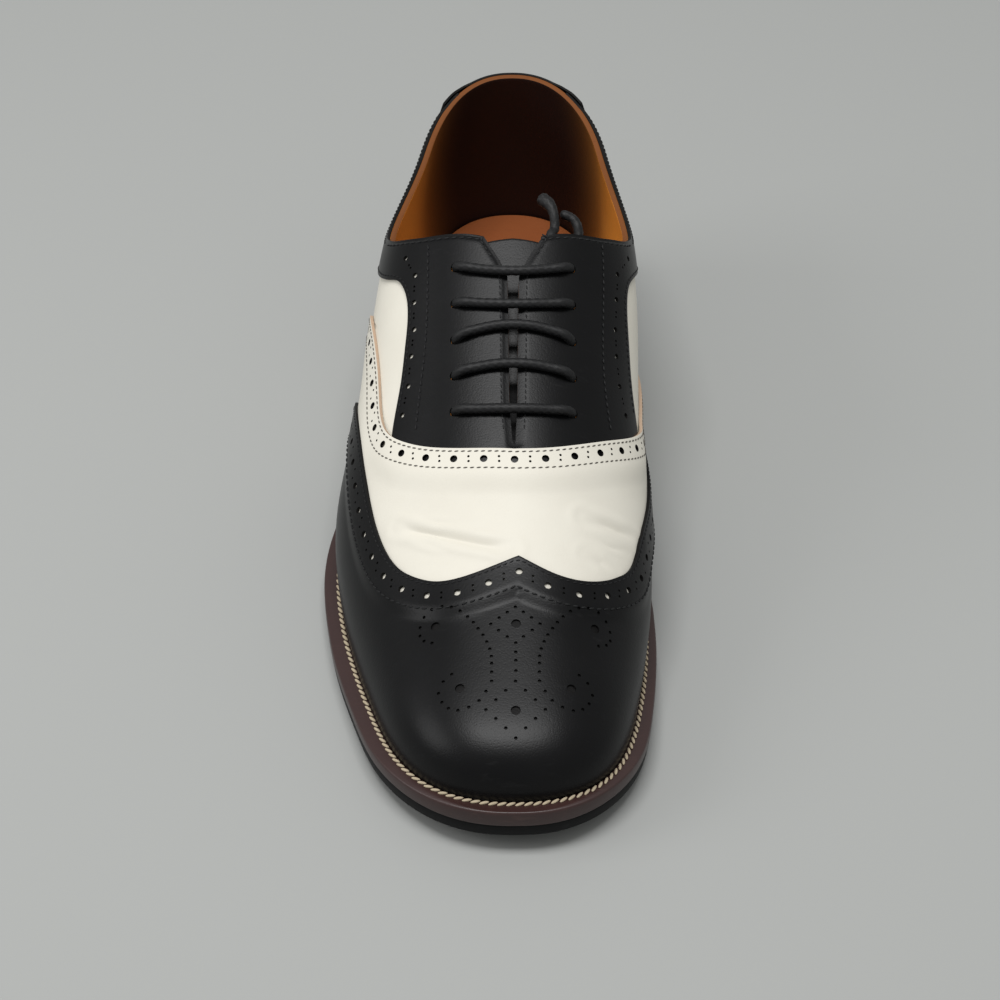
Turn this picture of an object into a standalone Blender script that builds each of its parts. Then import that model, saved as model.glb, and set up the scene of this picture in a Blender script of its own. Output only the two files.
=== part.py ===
# Spectator shoe, a right shoe: black and white laced oxford with a wing cap.
# The upper and its overlays are cut from one surface, the last, which is lofted
# through the sections of the table below.  Run it in Blender 4.5.
#
# The shoe's own measures, all in millimetres:
#   s     distance from the back of the heel, along the shoe
#   x     across, lateral side negative, medial side positive
#   z     height above the floor
#   v     place on a section, 0 at the feather line and 1 on the ridge of the last
import bmesh
import bpy
import math
import numpy as np

MM = 0.001
LATERAL = -1
MEDIAL = 1

# Driving dimensions
SHOE_LENGTH = 300.0
UPPER_BACK = 2.0             # s of the upper at the back of the heel
UPPER_TOE = 294.0            # s of the upper at the toe
WALL = 2.0                   # upper leather and lining together
OVERLAY = 1.2                # one layer of leather laid over the upper
CLEAR = 0.3                  # gap between pieces that meet
OVERLAY_CLEAR = 0.55         # gap under an overlay, on the curved wall
SEAM = 0.9                   # gap between the edges of two overlays
FOOT = 1.2                   # upright foot of the wall, where it meets the welt
THROAT_END = 188.0           # s where the two facings meet
FACING_TOP = 113.0           # s of the facings' top edge
OUTSOLE = 4.5
TOP_LIFT = 5.5
HEEL_FRONT = 77.0            # s of the heel breast
HEEL_TAPER = 0.965
INSOLE = 2.5
INSOLE_INSET = 2.7
TONGUE = 1.6
TONGUE_DROP = 6.8            # depth of the tongue below the last's surface, room for the lace
LACE_RADIUS = 1.5
EYELET_FIRST = 128.4         # s of the top pair of eyelets
EYELET_PITCH = 11.7
EYELET_X = 18.5
STRIP = 13.0                 # height of the collar strip
SECTION_RUN = 90.0           # rough length of a section, from v 0 to 1
ROWS = 10                    # rows of the upper's faces from the feather line to the top
EDGE_ROWS = 15               # rows of faces along the wing's edge
ENDS = 8                     # stations that turn round the heel, and as many round the toe

# The last: half widths at the feather line, height of the feather line, ridge, and the
# two handles of each section's curve, body for the wall and crown for the top.
SECTIONS = {
    #  s:         2     40     80    120    150    175    200    225    250    275    294
    "s":      [  2.0,  40.0,  80.0, 120.0, 150.0, 175.0, 200.0, 225.0, 250.0, 275.0, 294.0],
    "lat":    [ 31.0,  32.5,  35.5,  42.0,  50.5,  56.0,  55.5,  51.0,  45.0,  43.0,  43.0],
    "med":    [ 31.0,  32.5,  31.0,  30.0,  34.5,  39.0,  41.5,  41.0,  39.0,  40.0,  43.0],
    "base":   [ 29.0,  28.0,  23.5,  17.0,  13.0,  10.8,  10.2,  10.7,  12.2,  15.0,  17.8],
    "ridgex": [  0.0,   0.0,   0.0,   0.0,   0.0,   0.0,   0.5,   1.5,   1.5,   1.0,   0.5],
    "ridgez": [130.0, 129.0, 120.0, 101.0,  85.5,  73.5,  62.0,  51.7,  43.5,  36.0,  30.0],
    "bodyl":  [ 34.5,  38.0,  50.0,  56.5,  62.0,  66.0,  61.5,  54.0,  47.0,  44.5,  44.0],
    "bodym":  [ 34.5,  39.0,  48.0,  51.0,  51.5,  53.5,  52.5,  48.0,  42.0,  41.0,  44.0],
    "rise":   [ 0.38,  0.38,  0.40,  0.40,  0.40,  0.42,  0.45,  0.48,  0.52,  0.58,  0.60],
    "crownl": [ 26.0,  28.0,  43.0,  50.0,  44.0,  38.0,  34.0,  31.0,  29.0,  29.0,  30.0],
    "crownm": [ 26.0,  29.5,  42.5,  48.0,  41.0,  35.0,  31.0,  28.0,  26.0,  27.0,  30.0],
}
# The sole: half widths of its outline and height of its underside, with toe spring
SOLE = {
    "s":      [  0.0,  40.0,  80.0, 120.0, 150.0, 175.0, 190.0, 210.0, 225.0, 250.0, 275.0, 300.0],
    "lat":    [ 33.5,  35.5,  38.5,  46.0,  57.0,  62.8,  63.2,  61.0,  58.3,  52.3,  49.5,  46.0],
    "med":    [ 33.5,  35.0,  33.0,  32.0,  37.5,  43.5,  45.6,  46.7,  46.5,  45.0,  45.5,  44.0],
    "under":  [ 18.9,  17.8,  13.5,   7.0,   2.6,   0.4,  -0.3,  -0.3,   0.3,   1.9,   4.2,   6.6],
}
# How the two ends close: where the curve starts, where the ridge ends, and how square it is
TOE_START = 233.0
TOE_RIDGE = 268.0
TOE_SQUARE = 2.35
HEEL_START = 42.0
HEEL_RIDGE = 32.0
HEEL_FAN = 62.0
HEEL_SQUARE = 2.2

# Top line of the collar, s and height, from the heel to the top of the facings
TOP_LINE = {"s": [2.0, 40.0, 75.0, 98.0, 107.0, 113.0], "z": [93.5, 83.5, 79.5, 84.0, 91.0, 98.0]}
# Half width of the slit between the facings
SLIT = {"s": [113.0, 117.0, 121.0, 126.0, 150.0, 175.0, 188.0], "x": [10.5, 8.0, 5.5, 1.9, 1.6, 1.3, 0.4]}

# Edges of the overlays as (s, v), each from the feather line upwards
WING_EDGE = {
    LATERAL: [(118, 0), (124, .12), (135, .27), (152, .40), (172, .465), (190, .478), (208, .50), (219, .55),
              (226, .63), (229.5, .71), (230, .80), (228, .90), (224.5, 1)],
    MEDIAL: [(118, 0), (128, .11), (142, .21), (160, .29), (179, .34), (192, .39), (206, .44), (216, .475),
             (222, .54), (227, .63), (230, .745), (229.3, .87), (224.5, 1)],
}
BAND_EDGE = {
    LATERAL: [(90, 0), (94, .12), (103, .28), (116, .42), (134, .515), (157, .555), (174, .602),
              (179, .65), (184.5, .735), (188.5, .865), (190, 1)],
    MEDIAL: [(94, 0), (100, .10), (112, .21), (128, .30), (143, .36), (158, .42), (171, .536),
             (180, .674), (187.4, .838), (189.5, .93), (190, 1)],
}
FACING_EDGE = {
    LATERAL: [(117, .585), (123, .655), (131, .69), (147, .675), (158, .652), (174, .606)],
    MEDIAL: [(115, .56), (120, .592), (127, .60), (139, .567), (150, .527), (161.5, .472)],
}
FACING_FOOT = {LATERAL: 6, MEDIAL: 5}      # first point of BAND_EDGE that the facing meets
COUNTER_EDGE = [(66, 0), (50, .09), (35, .20), (24, .34)]
COUNTER_TOP = 18.0

# Colours of the leathers, rubber and cord, with their roughness
BLACK = (0.018, 0.018, 0.020, 1)
WHITE = (0.86, 0.83, 0.77, 1)
BROWN = (0.055, 0.020, 0.014, 1)
SOLE_BLACK = (0.012, 0.012, 0.012, 1)
TAN = (0.36, 0.14, 0.05, 1)


def spline(table, column, x):
    # natural cubic spline through a column of a table, straight on beyond its ends
    xs = np.array(table["s"], float)
    ys = np.array(table[column], float)
    x = np.asarray(x, float)
    n = len(xs)
    h = np.diff(xs)
    rows = np.eye(n)
    right = np.zeros(n)
    for i in range(1, n - 1):
        rows[i, i - 1:i + 2] = h[i - 1], 2 * (h[i - 1] + h[i]), h[i]
        right[i] = 6 * ((ys[i + 1] - ys[i]) / h[i] - (ys[i] - ys[i - 1]) / h[i - 1])
    bend = np.linalg.solve(rows, right)
    k = np.clip(np.searchsorted(xs, x) - 1, 0, n - 2)
    left = xs[k + 1] - x
    past = x - xs[k]
    curve = (bend[k] * left ** 3 + bend[k + 1] * past ** 3) / (6 * h[k])
    line = (ys[k] / h[k] - bend[k] * h[k] / 6) * left + (ys[k + 1] / h[k] - bend[k + 1] * h[k] / 6) * past
    return curve + line


def pick(side, s, lateral_column, medial_column, table=SECTIONS):
    column = lateral_column if side == LATERAL else medial_column
    return spline(table, column, s)


def closing(s, back, toe):
    # factor that brings the half widths to nothing at the back and at the toe
    t = np.clip((s - TOE_START) / (toe - TOE_START), 0, 1)
    h = np.clip((HEEL_START - s) / (HEEL_START - back), 0, 1)
    front = (1 - t ** TOE_SQUARE) ** (1 / TOE_SQUARE)
    return front * (1 - h ** HEEL_SQUARE) ** (1 / HEEL_SQUARE)


def ridge_station(s):
    # the sections fan out at both ends, so the ridge is shorter than the feather line
    past = np.clip(s - TOE_START, 0, None)
    reach = UPPER_TOE - TOE_START
    before = np.clip(HEEL_FAN - s, 0, None)
    depth = HEEL_FAN - UPPER_BACK
    toe = (UPPER_TOE - TOE_RIDGE) / reach ** 2
    heel = (HEEL_RIDGE - UPPER_BACK) / depth ** 2
    return s - toe * past ** 2 + heel * before ** 2


def last(side, s, v):
    # point of the last as (x, s, z): a cubic curve from the feather line to the ridge
    s = np.asarray(s, float)
    v = np.asarray(v, float)
    width = pick(side, s, "lat", "med")
    body = pick(side, s, "bodyl", "bodym") / width
    crown = pick(side, s, "crownl", "crownm") / width
    base = spline(SECTIONS, "base", s)
    rise = spline(SECTIONS, "rise", s)
    ks = ridge_station(s)
    kx = spline(SECTIONS, "ridgex", ks)
    kz = spline(SECTIONS, "ridgez", ks)
    slope = spline(SECTIONS, "ridgez", ks + 0.5) - spline(SECTIONS, "ridgez", ks - 0.5)
    dx = side * width * closing(s, UPPER_BACK, UPPER_TOE) - kx
    ds = s - ks
    p0 = np.stack([kx + dx, s, base], -1)
    p1 = np.stack([kx + dx * body, ks + ds * body, base + rise * (kz - base)], -1)
    p2 = np.stack([kx + dx * crown, ks + ds * crown, kz + slope * ds * crown], -1)
    p3 = np.stack([kx, ks, kz], -1)
    v = v[..., None]
    return (1 - v) ** 3 * p0 + 3 * (1 - v) ** 2 * v * p1 + 3 * (1 - v) * v * v * p2 + v ** 3 * p3


def above(side, s, v, height):
    # point above the surface of the last, by the height along its normal
    step = 0.4
    along = last(side, s + step, v) - last(side, s - step, v)
    high = np.minimum(v + 0.01, 1)
    up = last(side, s, high) - last(side, s, high - 0.02)
    normal = np.cross(along, up) * side
    return last(side, s, v) + normal * height / np.linalg.norm(normal)


def place_on_section(side, s, reached):
    # the v where a section first reaches a limit, found by halving
    low, high = 0.0, 1.0
    for _ in range(24):
        middle = (low + high) / 2
        if reached(last(side, s, middle)):
            high = middle
        else:
            low = middle
    return high


def top_edge(side, s):
    # v of the collar, of the facing's edge at the slit, or of the ridge past the throat
    if s >= THROAT_END:
        return 1.0
    if s > FACING_TOP:
        middle = float(spline(SECTIONS, "ridgex", s))
        half = float(np.interp(s, SLIT["s"], SLIT["x"]))
        return place_on_section(side, s, lambda p: abs(p[0] - middle) < half)
    height = float(spline(TOP_LINE, "z", s))
    return place_on_section(side, s, lambda p: p[2] > height)


def strip_edge(side, s):
    # v of the collar strip's lower edge
    height = float(spline(TOP_LINE, "z", min(s, 98.0))) - STRIP
    return place_on_section(side, s, lambda p: p[2] > height)


def stations(back, toe, ends, middle):
    # stations along the shoe, closer together where the outline turns round the ends
    heel = [back + (HEEL_START - back) * (1 - math.cos(math.pi / 2 * i / ends)) for i in range(ends)]
    straight = list(np.linspace(HEEL_START, TOE_START, middle))
    front = [TOE_START + (toe - TOE_START) * math.sin(math.pi / 2 * i / ends) for i in range(1, ends + 1)]
    return heel + straight + front


def resample(points, count):
    # evenly spaced points on a smooth curve through (s, v) points
    points = np.array(points, float)
    steps = np.hypot(np.diff(points[:, 0]), np.diff(points[:, 1]) * SECTION_RUN)
    run = np.concatenate([[0], np.cumsum(steps)])
    curve = {"s": run, "a": points[:, 0], "b": points[:, 1]}
    t = np.linspace(0, run[-1], count)
    if len(points) < 3:
        return np.stack([np.interp(t, run, points[:, 0]), np.interp(t, run, points[:, 1])], -1)
    return np.stack([spline(curve, "a", t), np.clip(spline(curve, "b", t), 0, 1)], -1)


def patch(low, high, back, front, along, across):
    # grid of (s, v) between four edges: low and high run forward, back and front run up
    low = resample(low, along)
    high = resample(high, along)
    back = resample(back, across)
    front = resample(front, across)
    u = np.linspace(0, 1, along)[:, None, None]
    w = np.linspace(0, 1, across)[None, :, None]
    between = (1 - w) * low[:, None] + w * high[:, None] + (1 - u) * back[None] + u * front[None]
    corners = (1 - u) * (1 - w) * low[0] + u * (1 - w) * low[-1] + (1 - u) * w * high[0] + u * w * high[-1]
    grid = between - corners
    return grid[..., 0], np.clip(grid[..., 1], 0, 1)


def collection(name):
    group = bpy.data.collections.new(name)
    bpy.context.scene.collection.children.link(group)
    return group


def material(name, colour, roughness):
    made = bpy.data.materials.new(name)
    made.use_nodes = True
    shader = made.node_tree.nodes["Principled BSDF"]
    shader.inputs["Base Color"].default_value = colour
    shader.inputs["Roughness"].default_value = roughness
    shader.inputs["Metallic"].default_value = 0.0
    return made


def world(point):
    x, s, z = (float(c) for c in point)
    return x * MM, (SHOE_LENGTH / 2 - s) * MM, z * MM


def add_grid(bm, points, flip):
    # quads of a grid of points; flip turns them over, for the medial side
    verts = [[bm.verts.new(world(p)) for p in row] for row in points]
    for a, b in zip(verts, verts[1:]):
        for i in range(len(a) - 1):
            quad = [a[i], b[i], b[i + 1], a[i + 1]]
            bm.faces.new(quad[::-1] if flip else quad)


def finish(name, bm, group, look, lift=None):
    # merge the halves, lift the surface along its normals by a function of s, make the object
    bmesh.ops.remove_doubles(bm, verts=bm.verts, dist=0.00001)
    bmesh.ops.dissolve_degenerate(bm, edges=bm.edges, dist=0.00001)
    bm.normal_update()
    if lift is not None:
        for vert in bm.verts:
            vert.co += vert.normal * lift(SHOE_LENGTH / 2 - vert.co.y / MM) * MM
    mesh = bpy.data.meshes.new(name)
    bm.to_mesh(mesh)
    bm.free()
    mesh.materials.append(look)
    thing = bpy.data.objects.new(name, mesh)
    group.objects.link(thing)
    mesh.shade_smooth()
    mesh.set_sharp_from_angle(angle=math.radians(40))
    return thing


def thicken(thing, thickness, outward):
    wall = thing.modifiers.new("wall", "SOLIDIFY")
    wall.thickness = thickness * MM
    wall.offset = 1 if outward else -1
    wall.use_even_offset = True
    wall.use_quality_normals = True
    return thing


def make_upper(group, look):
    # the hollow upper: wall from the welt to the collar, slit and closed vamp
    bm = bmesh.new()
    fixed = [FACING_TOP + step for step in (-9, -4.5, 0, 1.5, 5, 9)] + [THROAT_END]
    along = [s for s in stations(UPPER_BACK, UPPER_TOE, ENDS, 18) if min(abs(s - f) for f in fixed) > 2]
    along = sorted(along + fixed)
    for side in (LATERAL, MEDIAL):
        columns = []
        for s in along:
            top = top_edge(side, s)
            column = [last(side, s, top * j / ROWS) for j in range(ROWS + 1)]
            foot = column[0] - np.array([0, 0, FOOT])
            columns.append([foot] + column)
        add_grid(bm, columns, side == MEDIAL)
    return thicken(finish("upper", bm, group, look), WALL, False)


def make_overlay(name, group, look, patches):
    bm = bmesh.new()
    for side, (s, v) in patches:
        add_grid(bm, last(side, s, v), side == MEDIAL)
    return thicken(finish(name, bm, group, look, lambda s: OVERLAY_CLEAR), OVERLAY, True)


def set_back(points, by):
    # an edge moved sideways over the surface, towards the heel and up when by is positive
    points = np.array(points, float) * (1, SECTION_RUN)
    turn = np.gradient(points, axis=0)
    turn = np.stack([-turn[:, 1], turn[:, 0]], -1) / np.linalg.norm(turn, axis=1)[:, None]
    moved = (points + turn * by) / (1, SECTION_RUN)
    return [(s, min(max(v, 0), 1)) for s, v in moved]


def wing_cap(group, look):
    # rows run straight from the wing's edge to the toe, by the upper's own stations round it
    toe = stations(UPPER_BACK, UPPER_TOE, ENDS, 2)[-ENDS:]
    edges = {side: resample(WING_EDGE[side], EDGE_ROWS + 1) for side in (LATERAL, MEDIAL)}
    rows = (edges[LATERAL][:, 1] + edges[MEDIAL][:, 1]) / 4 + np.linspace(0, 0.5, EDGE_ROWS + 1)
    patches = []
    for side, edge in edges.items():
        first = edge[:, 0]
        along = [first + (toe[0] - first) * t for t in np.linspace(0, 1, 11)]
        along = np.array(along + [np.full(EDGE_ROWS + 1, s) for s in toe[1:]])
        up = edge[:, 1] + (rows - edge[:, 1]) * (along - first) / (UPPER_TOE - first)
        patches.append((side, (along, up)))
    return make_overlay("wing_cap", group, look, patches)


def vamp(group, look):
    patches = []
    for side in (LATERAL, MEDIAL):
        back = BAND_EDGE[side]
        front = set_back(resample(WING_EDGE[side], EDGE_ROWS + 1), SEAM)
        front[0] = (front[0][0], 0)
        front[-1] = (front[-1][0], 1)
        low = [back[0], front[0]]
        ridge = [back[-1], front[-1]]
        patches.append((side, patch(low, ridge, back, front, 7, EDGE_ROWS + 1)))
    return make_overlay("vamp", group, look, patches)


def facing(name, side, group, look):
    # facing and collar strip in one piece, from the counter to the vamp
    foot = set_back(BAND_EDGE[side], SEAM + CLEAR)[FACING_FOOT[side]:]
    front = foot[:-1] + [(THROAT_END - 1.0, top_edge(side, THROAT_END - 1.0))]
    low_back = COUNTER_EDGE[-1][0] + SEAM
    high_back = COUNTER_TOP + SEAM
    back = [(low_back, strip_edge(side, low_back)), (high_back, top_edge(side, high_back))]
    strip = [(s, strip_edge(side, s)) for s in (back[0][0], 45, 65, 85, 100)]
    low = strip + FACING_EDGE[side][:-1] + [front[0]]
    high = [(s, top_edge(side, s)) for s in (back[1][0], 40, 60, 80, 95, 104, 110, 113, 114.5, 118, 122,
                                             128, 145, 165, THROAT_END - 1.0)]
    return make_overlay(name, group, look, [(side, patch(low, high, back, front, 28, 7))])


def counter(group, look):
    patches = []
    for side in (LATERAL, MEDIAL):
        front = COUNTER_EDGE + [(COUNTER_TOP, top_edge(side, COUNTER_TOP))]
        back = [(UPPER_BACK, 0), (UPPER_BACK, top_edge(side, UPPER_BACK))]
        low = [(UPPER_BACK, 0), (6, 0), (20, 0), (40, 0), front[0]]
        high = [(s, top_edge(side, s)) for s in (UPPER_BACK, 5, 10, COUNTER_TOP)]
        s, v = patch(low, high, back, front, 2, 9)
        u = (1 - np.cos(np.linspace(0, math.pi / 2, 10)))[:, None]
        patches.append((side, (s[0] * (1 - u) + s[-1] * u, v[0] * (1 - u) + v[-1] * u)))
    return make_overlay("counter", group, look, patches)


def tongue(group, look):
    # tongue under the facings, sewn below the vamp at its front and lower behind
    bm = bmesh.new()
    for side in (LATERAL, MEDIAL):
        low = [(124, .74), (190, .74)]
        ridge = [(108, 1), (190, 1)]
        top = [(124, .74), (116, .79), (110, .88), (108, 1)]
        s, v = patch(low, ridge, top, [(190, .74), (190, 1)], 12, 6)
        add_grid(bm, last(side, s, v), side == MEDIAL)
    sewn = -(WALL + CLEAR + 0.1)
    drop = lambda s: float(np.interp(s, [165, 185, 190], [-TONGUE_DROP, -2.9, sewn]))
    return thicken(finish("tongue", bm, group, look, drop), TONGUE, False)


def plate(name, group, look, inset, top, bottom, table=SOLE, back=0.0, toe=SHOE_LENGTH, cut=None, taper=1.0):
    # a layer of the sole: its outline at its top heights, extruded down to its underside
    along = stations(back, toe, ENDS, 14)
    if cut is not None:
        along = [s for s in along if s < cut - 1] + [cut]
    bm = bmesh.new()
    for side in (LATERAL, MEDIAL):
        rows = []
        for s in along:
            half = side * (pick(side, s, "lat", "med", table) - inset) * closing(s, back, toe)
            rows.append([(0, s, top(s)), (half, s, top(s))])
        add_grid(bm, rows, side == LATERAL)
    bmesh.ops.remove_doubles(bm, verts=bm.verts, dist=0.00001)
    lower = bmesh.ops.extrude_face_region(bm, geom=list(bm.faces))["geom"]
    centre = (SHOE_LENGTH / 2 - HEEL_FRONT / 2) * MM
    for vert in (v for v in lower if isinstance(v, bmesh.types.BMVert)):
        s = SHOE_LENGTH / 2 - vert.co.y / MM
        vert.co.z = bottom(s) * MM
        vert.co.x *= taper
        vert.co.y = centre + (vert.co.y - centre) * taper
    bmesh.ops.recalc_face_normals(bm, faces=bm.faces)
    return finish(name, bm, group, look)


def base_height(s):
    return float(spline(SECTIONS, "base", min(s, UPPER_TOE))) + 0.14 * max(s - UPPER_TOE, 0)


def underside(s):
    return max(float(spline(SOLE, "under", s)), 0.0)


def sole_layers(group, welt_look, black_look):
    welt_top = lambda s: base_height(s) - FOOT - CLEAR
    outsole_top = lambda s: underside(s) + OUTSOLE
    plate("welt", group, welt_look, 0.0, welt_top, lambda s: outsole_top(s) + CLEAR)
    plate("outsole", group, black_look, 0.6, outsole_top, underside, back=0.6, toe=SHOE_LENGTH - 0.6)
    block_foot = TOP_LIFT + CLEAR
    plate("heel_block", group, black_look, 1.2, lambda s: underside(s) - CLEAR, lambda s: block_foot,
          back=1.2, cut=HEEL_FRONT, taper=HEEL_TAPER)
    plate("top_lift", group, black_look, 2.4, lambda s: TOP_LIFT, lambda s: 0.0,
          back=2.6, cut=HEEL_FRONT - 1.5)


def insole(group, look):
    foot = lambda s: base_height(s) - FOOT
    plate("insole", group, look, INSOLE_INSET, lambda s: foot(s) + INSOLE, foot, table=SECTIONS,
          back=UPPER_BACK + INSOLE_INSET, toe=UPPER_TOE - INSOLE_INSET)


def cord(name, group, look, points):
    # round cord along the points, with a mesh of its own
    curve = bpy.data.curves.new(name, "CURVE")
    curve.dimensions = "3D"
    curve.bevel_depth = LACE_RADIUS * MM
    curve.bevel_resolution = 2
    curve.use_fill_caps = True
    run = curve.splines.new("POLY")
    run.points.add(len(points) - 1)
    for knot, point in zip(run.points, points):
        knot.co = (*world(point), 1)
    curve.materials.append(look)
    thing = bpy.data.objects.new(name, curve)
    group.objects.link(thing)
    return thing


def smooth_route(points, count):
    # points at equal steps on a smooth curve through the route's own points
    points = np.array(points, float)
    run = np.concatenate([[0], np.cumsum(np.linalg.norm(np.diff(points, axis=0), axis=1))])
    table = {"s": run, "x": points[:, 0], "y": points[:, 1], "z": points[:, 2]}
    t = np.linspace(0, run[-1], count)
    return np.stack([spline(table, c, t) for c in "xyz"], -1)


def lace_bars(group, look):
    # five bars across the slit, each swaying a little towards the toe or the heel
    sways = [4.0, 3.0, -2.0, -1.0, 2.0]
    rest = OVERLAY_CLEAR + OVERLAY + CLEAR + LACE_RADIUS + 0.1
    for row, sway in enumerate(sways):
        s0 = EYELET_FIRST + EYELET_PITCH * row
        points = []
        for step in range(11):
            across = -1 + step / 5
            x = across * EYELET_X
            side = LATERAL if x < 0 else MEDIAL
            s = s0 + sway * (1 - across ** 2)
            v = place_on_section(side, s, lambda p: abs(p[0]) <= max(abs(x), 0.01))
            points.append(above(side, s, v, rest))
        cord("lace_bar_%d" % (row + 1), group, look, points)


def lace_ends(group, look):
    # both ends run back under the medial facing from the top eyelet, then out into the collar
    under = -(WALL + LACE_RADIUS + 2 * CLEAR)
    hidden = {"lace_end_1": [(18.0, 127.5), (16.5, 124.0), (15.0, 120.0), (13.6, 116.0)],
              "lace_end_2": [(24.0, 128.0), (23.8, 124.0), (23.4, 120.0), (23.0, 116.5)]}
    free = {"lace_end_1": [(12.7, 112.0, 98.0), (12.2, 108.0, 101.0), (11.5, 103.5, 103.0), (10.8, 98.0, 103.6)],
            "lace_end_2": [(22.9, 112.5, 93.9), (22.3, 109.0, 96.7), (20.3, 106.0, 98.9), (17.4, 104.0, 100.0)]}
    for name, places in hidden.items():
        route = []
        for x, s in places:
            v = place_on_section(MEDIAL, s, lambda p: p[0] < x and p[2] > STRIP)
            route.append(above(MEDIAL, s, v, under))
        cord(name, group, look, smooth_route(route + free[name], 12))


def clear_scene():
    for thing in list(bpy.data.objects):
        bpy.data.objects.remove(thing, do_unlink=True)


def centre_across(group):
    # the origin lies under the middle of the shoe's box
    bpy.context.view_layer.update()
    xs = []
    for thing in group.objects:
        xs += [corner[0] for corner in thing.bound_box]
    middle = (min(xs) + max(xs)) / 2
    for thing in group.objects:
        thing.location.x = -middle


def main():
    clear_scene()
    group = collection("spectator_shoe")
    black = material("black_leather", BLACK, 0.35)
    white = material("white_leather", WHITE, 0.45)
    tan = material("tan_lining", TAN, 0.6)
    brown = material("brown_welt", BROWN, 0.4)
    rubber = material("black_sole", SOLE_BLACK, 0.6)
    waxed = material("waxed_cord", BLACK, 0.7)
    sole_layers(group, brown, rubber)
    insole(group, tan)
    make_upper(group, white)
    tongue(group, black)
    counter(group, black)
    facing("facing_lateral", LATERAL, group, black)
    facing("facing_medial", MEDIAL, group, black)
    vamp(group, white)
    wing_cap(group, black)
    lace_bars(group, waxed)
    lace_ends(group, waxed)
    centre_across(group)


main()
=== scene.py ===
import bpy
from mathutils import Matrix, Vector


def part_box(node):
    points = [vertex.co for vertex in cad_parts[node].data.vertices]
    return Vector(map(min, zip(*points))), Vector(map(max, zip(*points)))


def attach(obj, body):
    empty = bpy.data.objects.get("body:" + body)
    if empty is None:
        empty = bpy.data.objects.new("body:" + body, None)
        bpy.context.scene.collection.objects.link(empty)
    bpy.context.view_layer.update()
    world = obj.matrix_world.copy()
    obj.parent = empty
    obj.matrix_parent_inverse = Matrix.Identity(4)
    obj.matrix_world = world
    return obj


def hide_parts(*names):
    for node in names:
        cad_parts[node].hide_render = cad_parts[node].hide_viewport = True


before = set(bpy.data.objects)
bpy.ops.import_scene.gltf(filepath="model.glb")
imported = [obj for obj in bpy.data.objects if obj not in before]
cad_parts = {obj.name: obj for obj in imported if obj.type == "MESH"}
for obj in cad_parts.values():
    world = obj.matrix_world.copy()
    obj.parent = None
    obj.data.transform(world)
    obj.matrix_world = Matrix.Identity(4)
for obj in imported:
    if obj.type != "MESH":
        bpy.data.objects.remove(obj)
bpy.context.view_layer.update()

import math
import bmesh
import bpy
import numpy as np
from mathutils import Matrix, Vector
from mathutils.bvhtree import BVHTree

# Spectator shoe, a right shoe. Patterns are cut flat in the last's own chart and lasted onto it.
# s runs from the heel to the toe in mm. c runs across: -1 outer feather line, 0 ridge, 1 inner one.
mm = 0.001
lateral, medial = -1, 1
tuck, pinLength = 0.016, 9.0    # how far panels run on below the feather line, and the punch's length
acrossScale = 90.0              # mm that one unit of c stands for, roughly
mergeGap = 0.00002
lowBar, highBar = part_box("lace_bar_1")
sideShift = (lowBar[0] + highBar[0]) / 2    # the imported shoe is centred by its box, the last by its bars

lastForm = {
    "length": 300.0, "back": 2.0, "toe": 294.0,
    "toeStart": 233.0, "toeRidge": 268.0, "toeSquare": 2.35,
    "heelStart": 42.0, "heelRidge": 32.0, "heelFan": 62.0, "heelSquare": 2.2,
}
sections = {
    "s":      [  2.0,  40.0,  80.0, 120.0, 150.0, 175.0, 200.0, 225.0, 250.0, 275.0, 294.0],
    "lat":    [ 31.0,  32.5,  35.5,  42.0,  50.5,  56.0,  55.5,  51.0,  45.0,  43.0,  43.0],
    "med":    [ 31.0,  32.5,  31.0,  30.0,  34.5,  39.0,  41.5,  41.0,  39.0,  40.0,  43.0],
    "base":   [ 29.0,  28.0,  23.5,  17.0,  13.0,  10.8,  10.2,  10.7,  12.2,  15.0,  17.8],
    "ridgex": [  0.0,   0.0,   0.0,   0.0,   0.0,   0.0,   0.5,   1.5,   1.5,   1.0,   0.5],
    "ridgez": [130.0, 129.0, 120.0, 101.0,  85.5,  73.5,  62.0,  51.7,  43.5,  36.0,  30.0],
    "bodyl":  [ 34.5,  38.0,  50.0,  56.5,  62.0,  66.0,  61.5,  54.0,  47.0,  44.5,  44.0],
    "bodym":  [ 34.5,  39.0,  48.0,  51.0,  51.5,  53.5,  52.5,  48.0,  42.0,  41.0,  44.0],
    "rise":   [ 0.38,  0.38,  0.40,  0.40,  0.40,  0.42,  0.45,  0.48,  0.52,  0.58,  0.60],
    "crownl": [ 26.0,  28.0,  43.0,  50.0,  44.0,  38.0,  34.0,  31.0,  29.0,  29.0,  30.0],
    "crownm": [ 26.0,  29.5,  42.5,  48.0,  41.0,  35.0,  31.0,  28.0,  26.0,  27.0,  30.0],
}
soleTable = {
    "s":     [  0.0,  40.0,  80.0, 120.0, 150.0, 175.0, 190.0, 210.0, 225.0, 250.0, 275.0, 300.0],
    "lat":   [ 33.5,  35.5,  38.5,  46.0,  57.0,  62.8,  63.2,  61.0,  58.3,  52.3,  49.5,  46.0],
    "med":   [ 33.5,  35.0,  33.0,  32.0,  37.5,  43.5,  45.6,  46.7,  46.5,  45.0,  45.5,  44.0],
    "under": [ 18.9,  17.8,  13.5,   7.0,   2.6,   0.4,  -0.3,  -0.3,   0.3,   1.9,   4.2,   6.6],
}
topLine = {"s": [2.0, 40.0, 75.0, 98.0, 107.0, 113.0], "z": [93.5, 83.5, 79.5, 84.0, 91.0, 98.0]}
shoulder = {"s": [98.0, 107.0, 112.0, 114.8, 118.3, 119.7], "v": [0.535, 0.632, 0.715, 0.78, 0.90, 0.932]}
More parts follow.
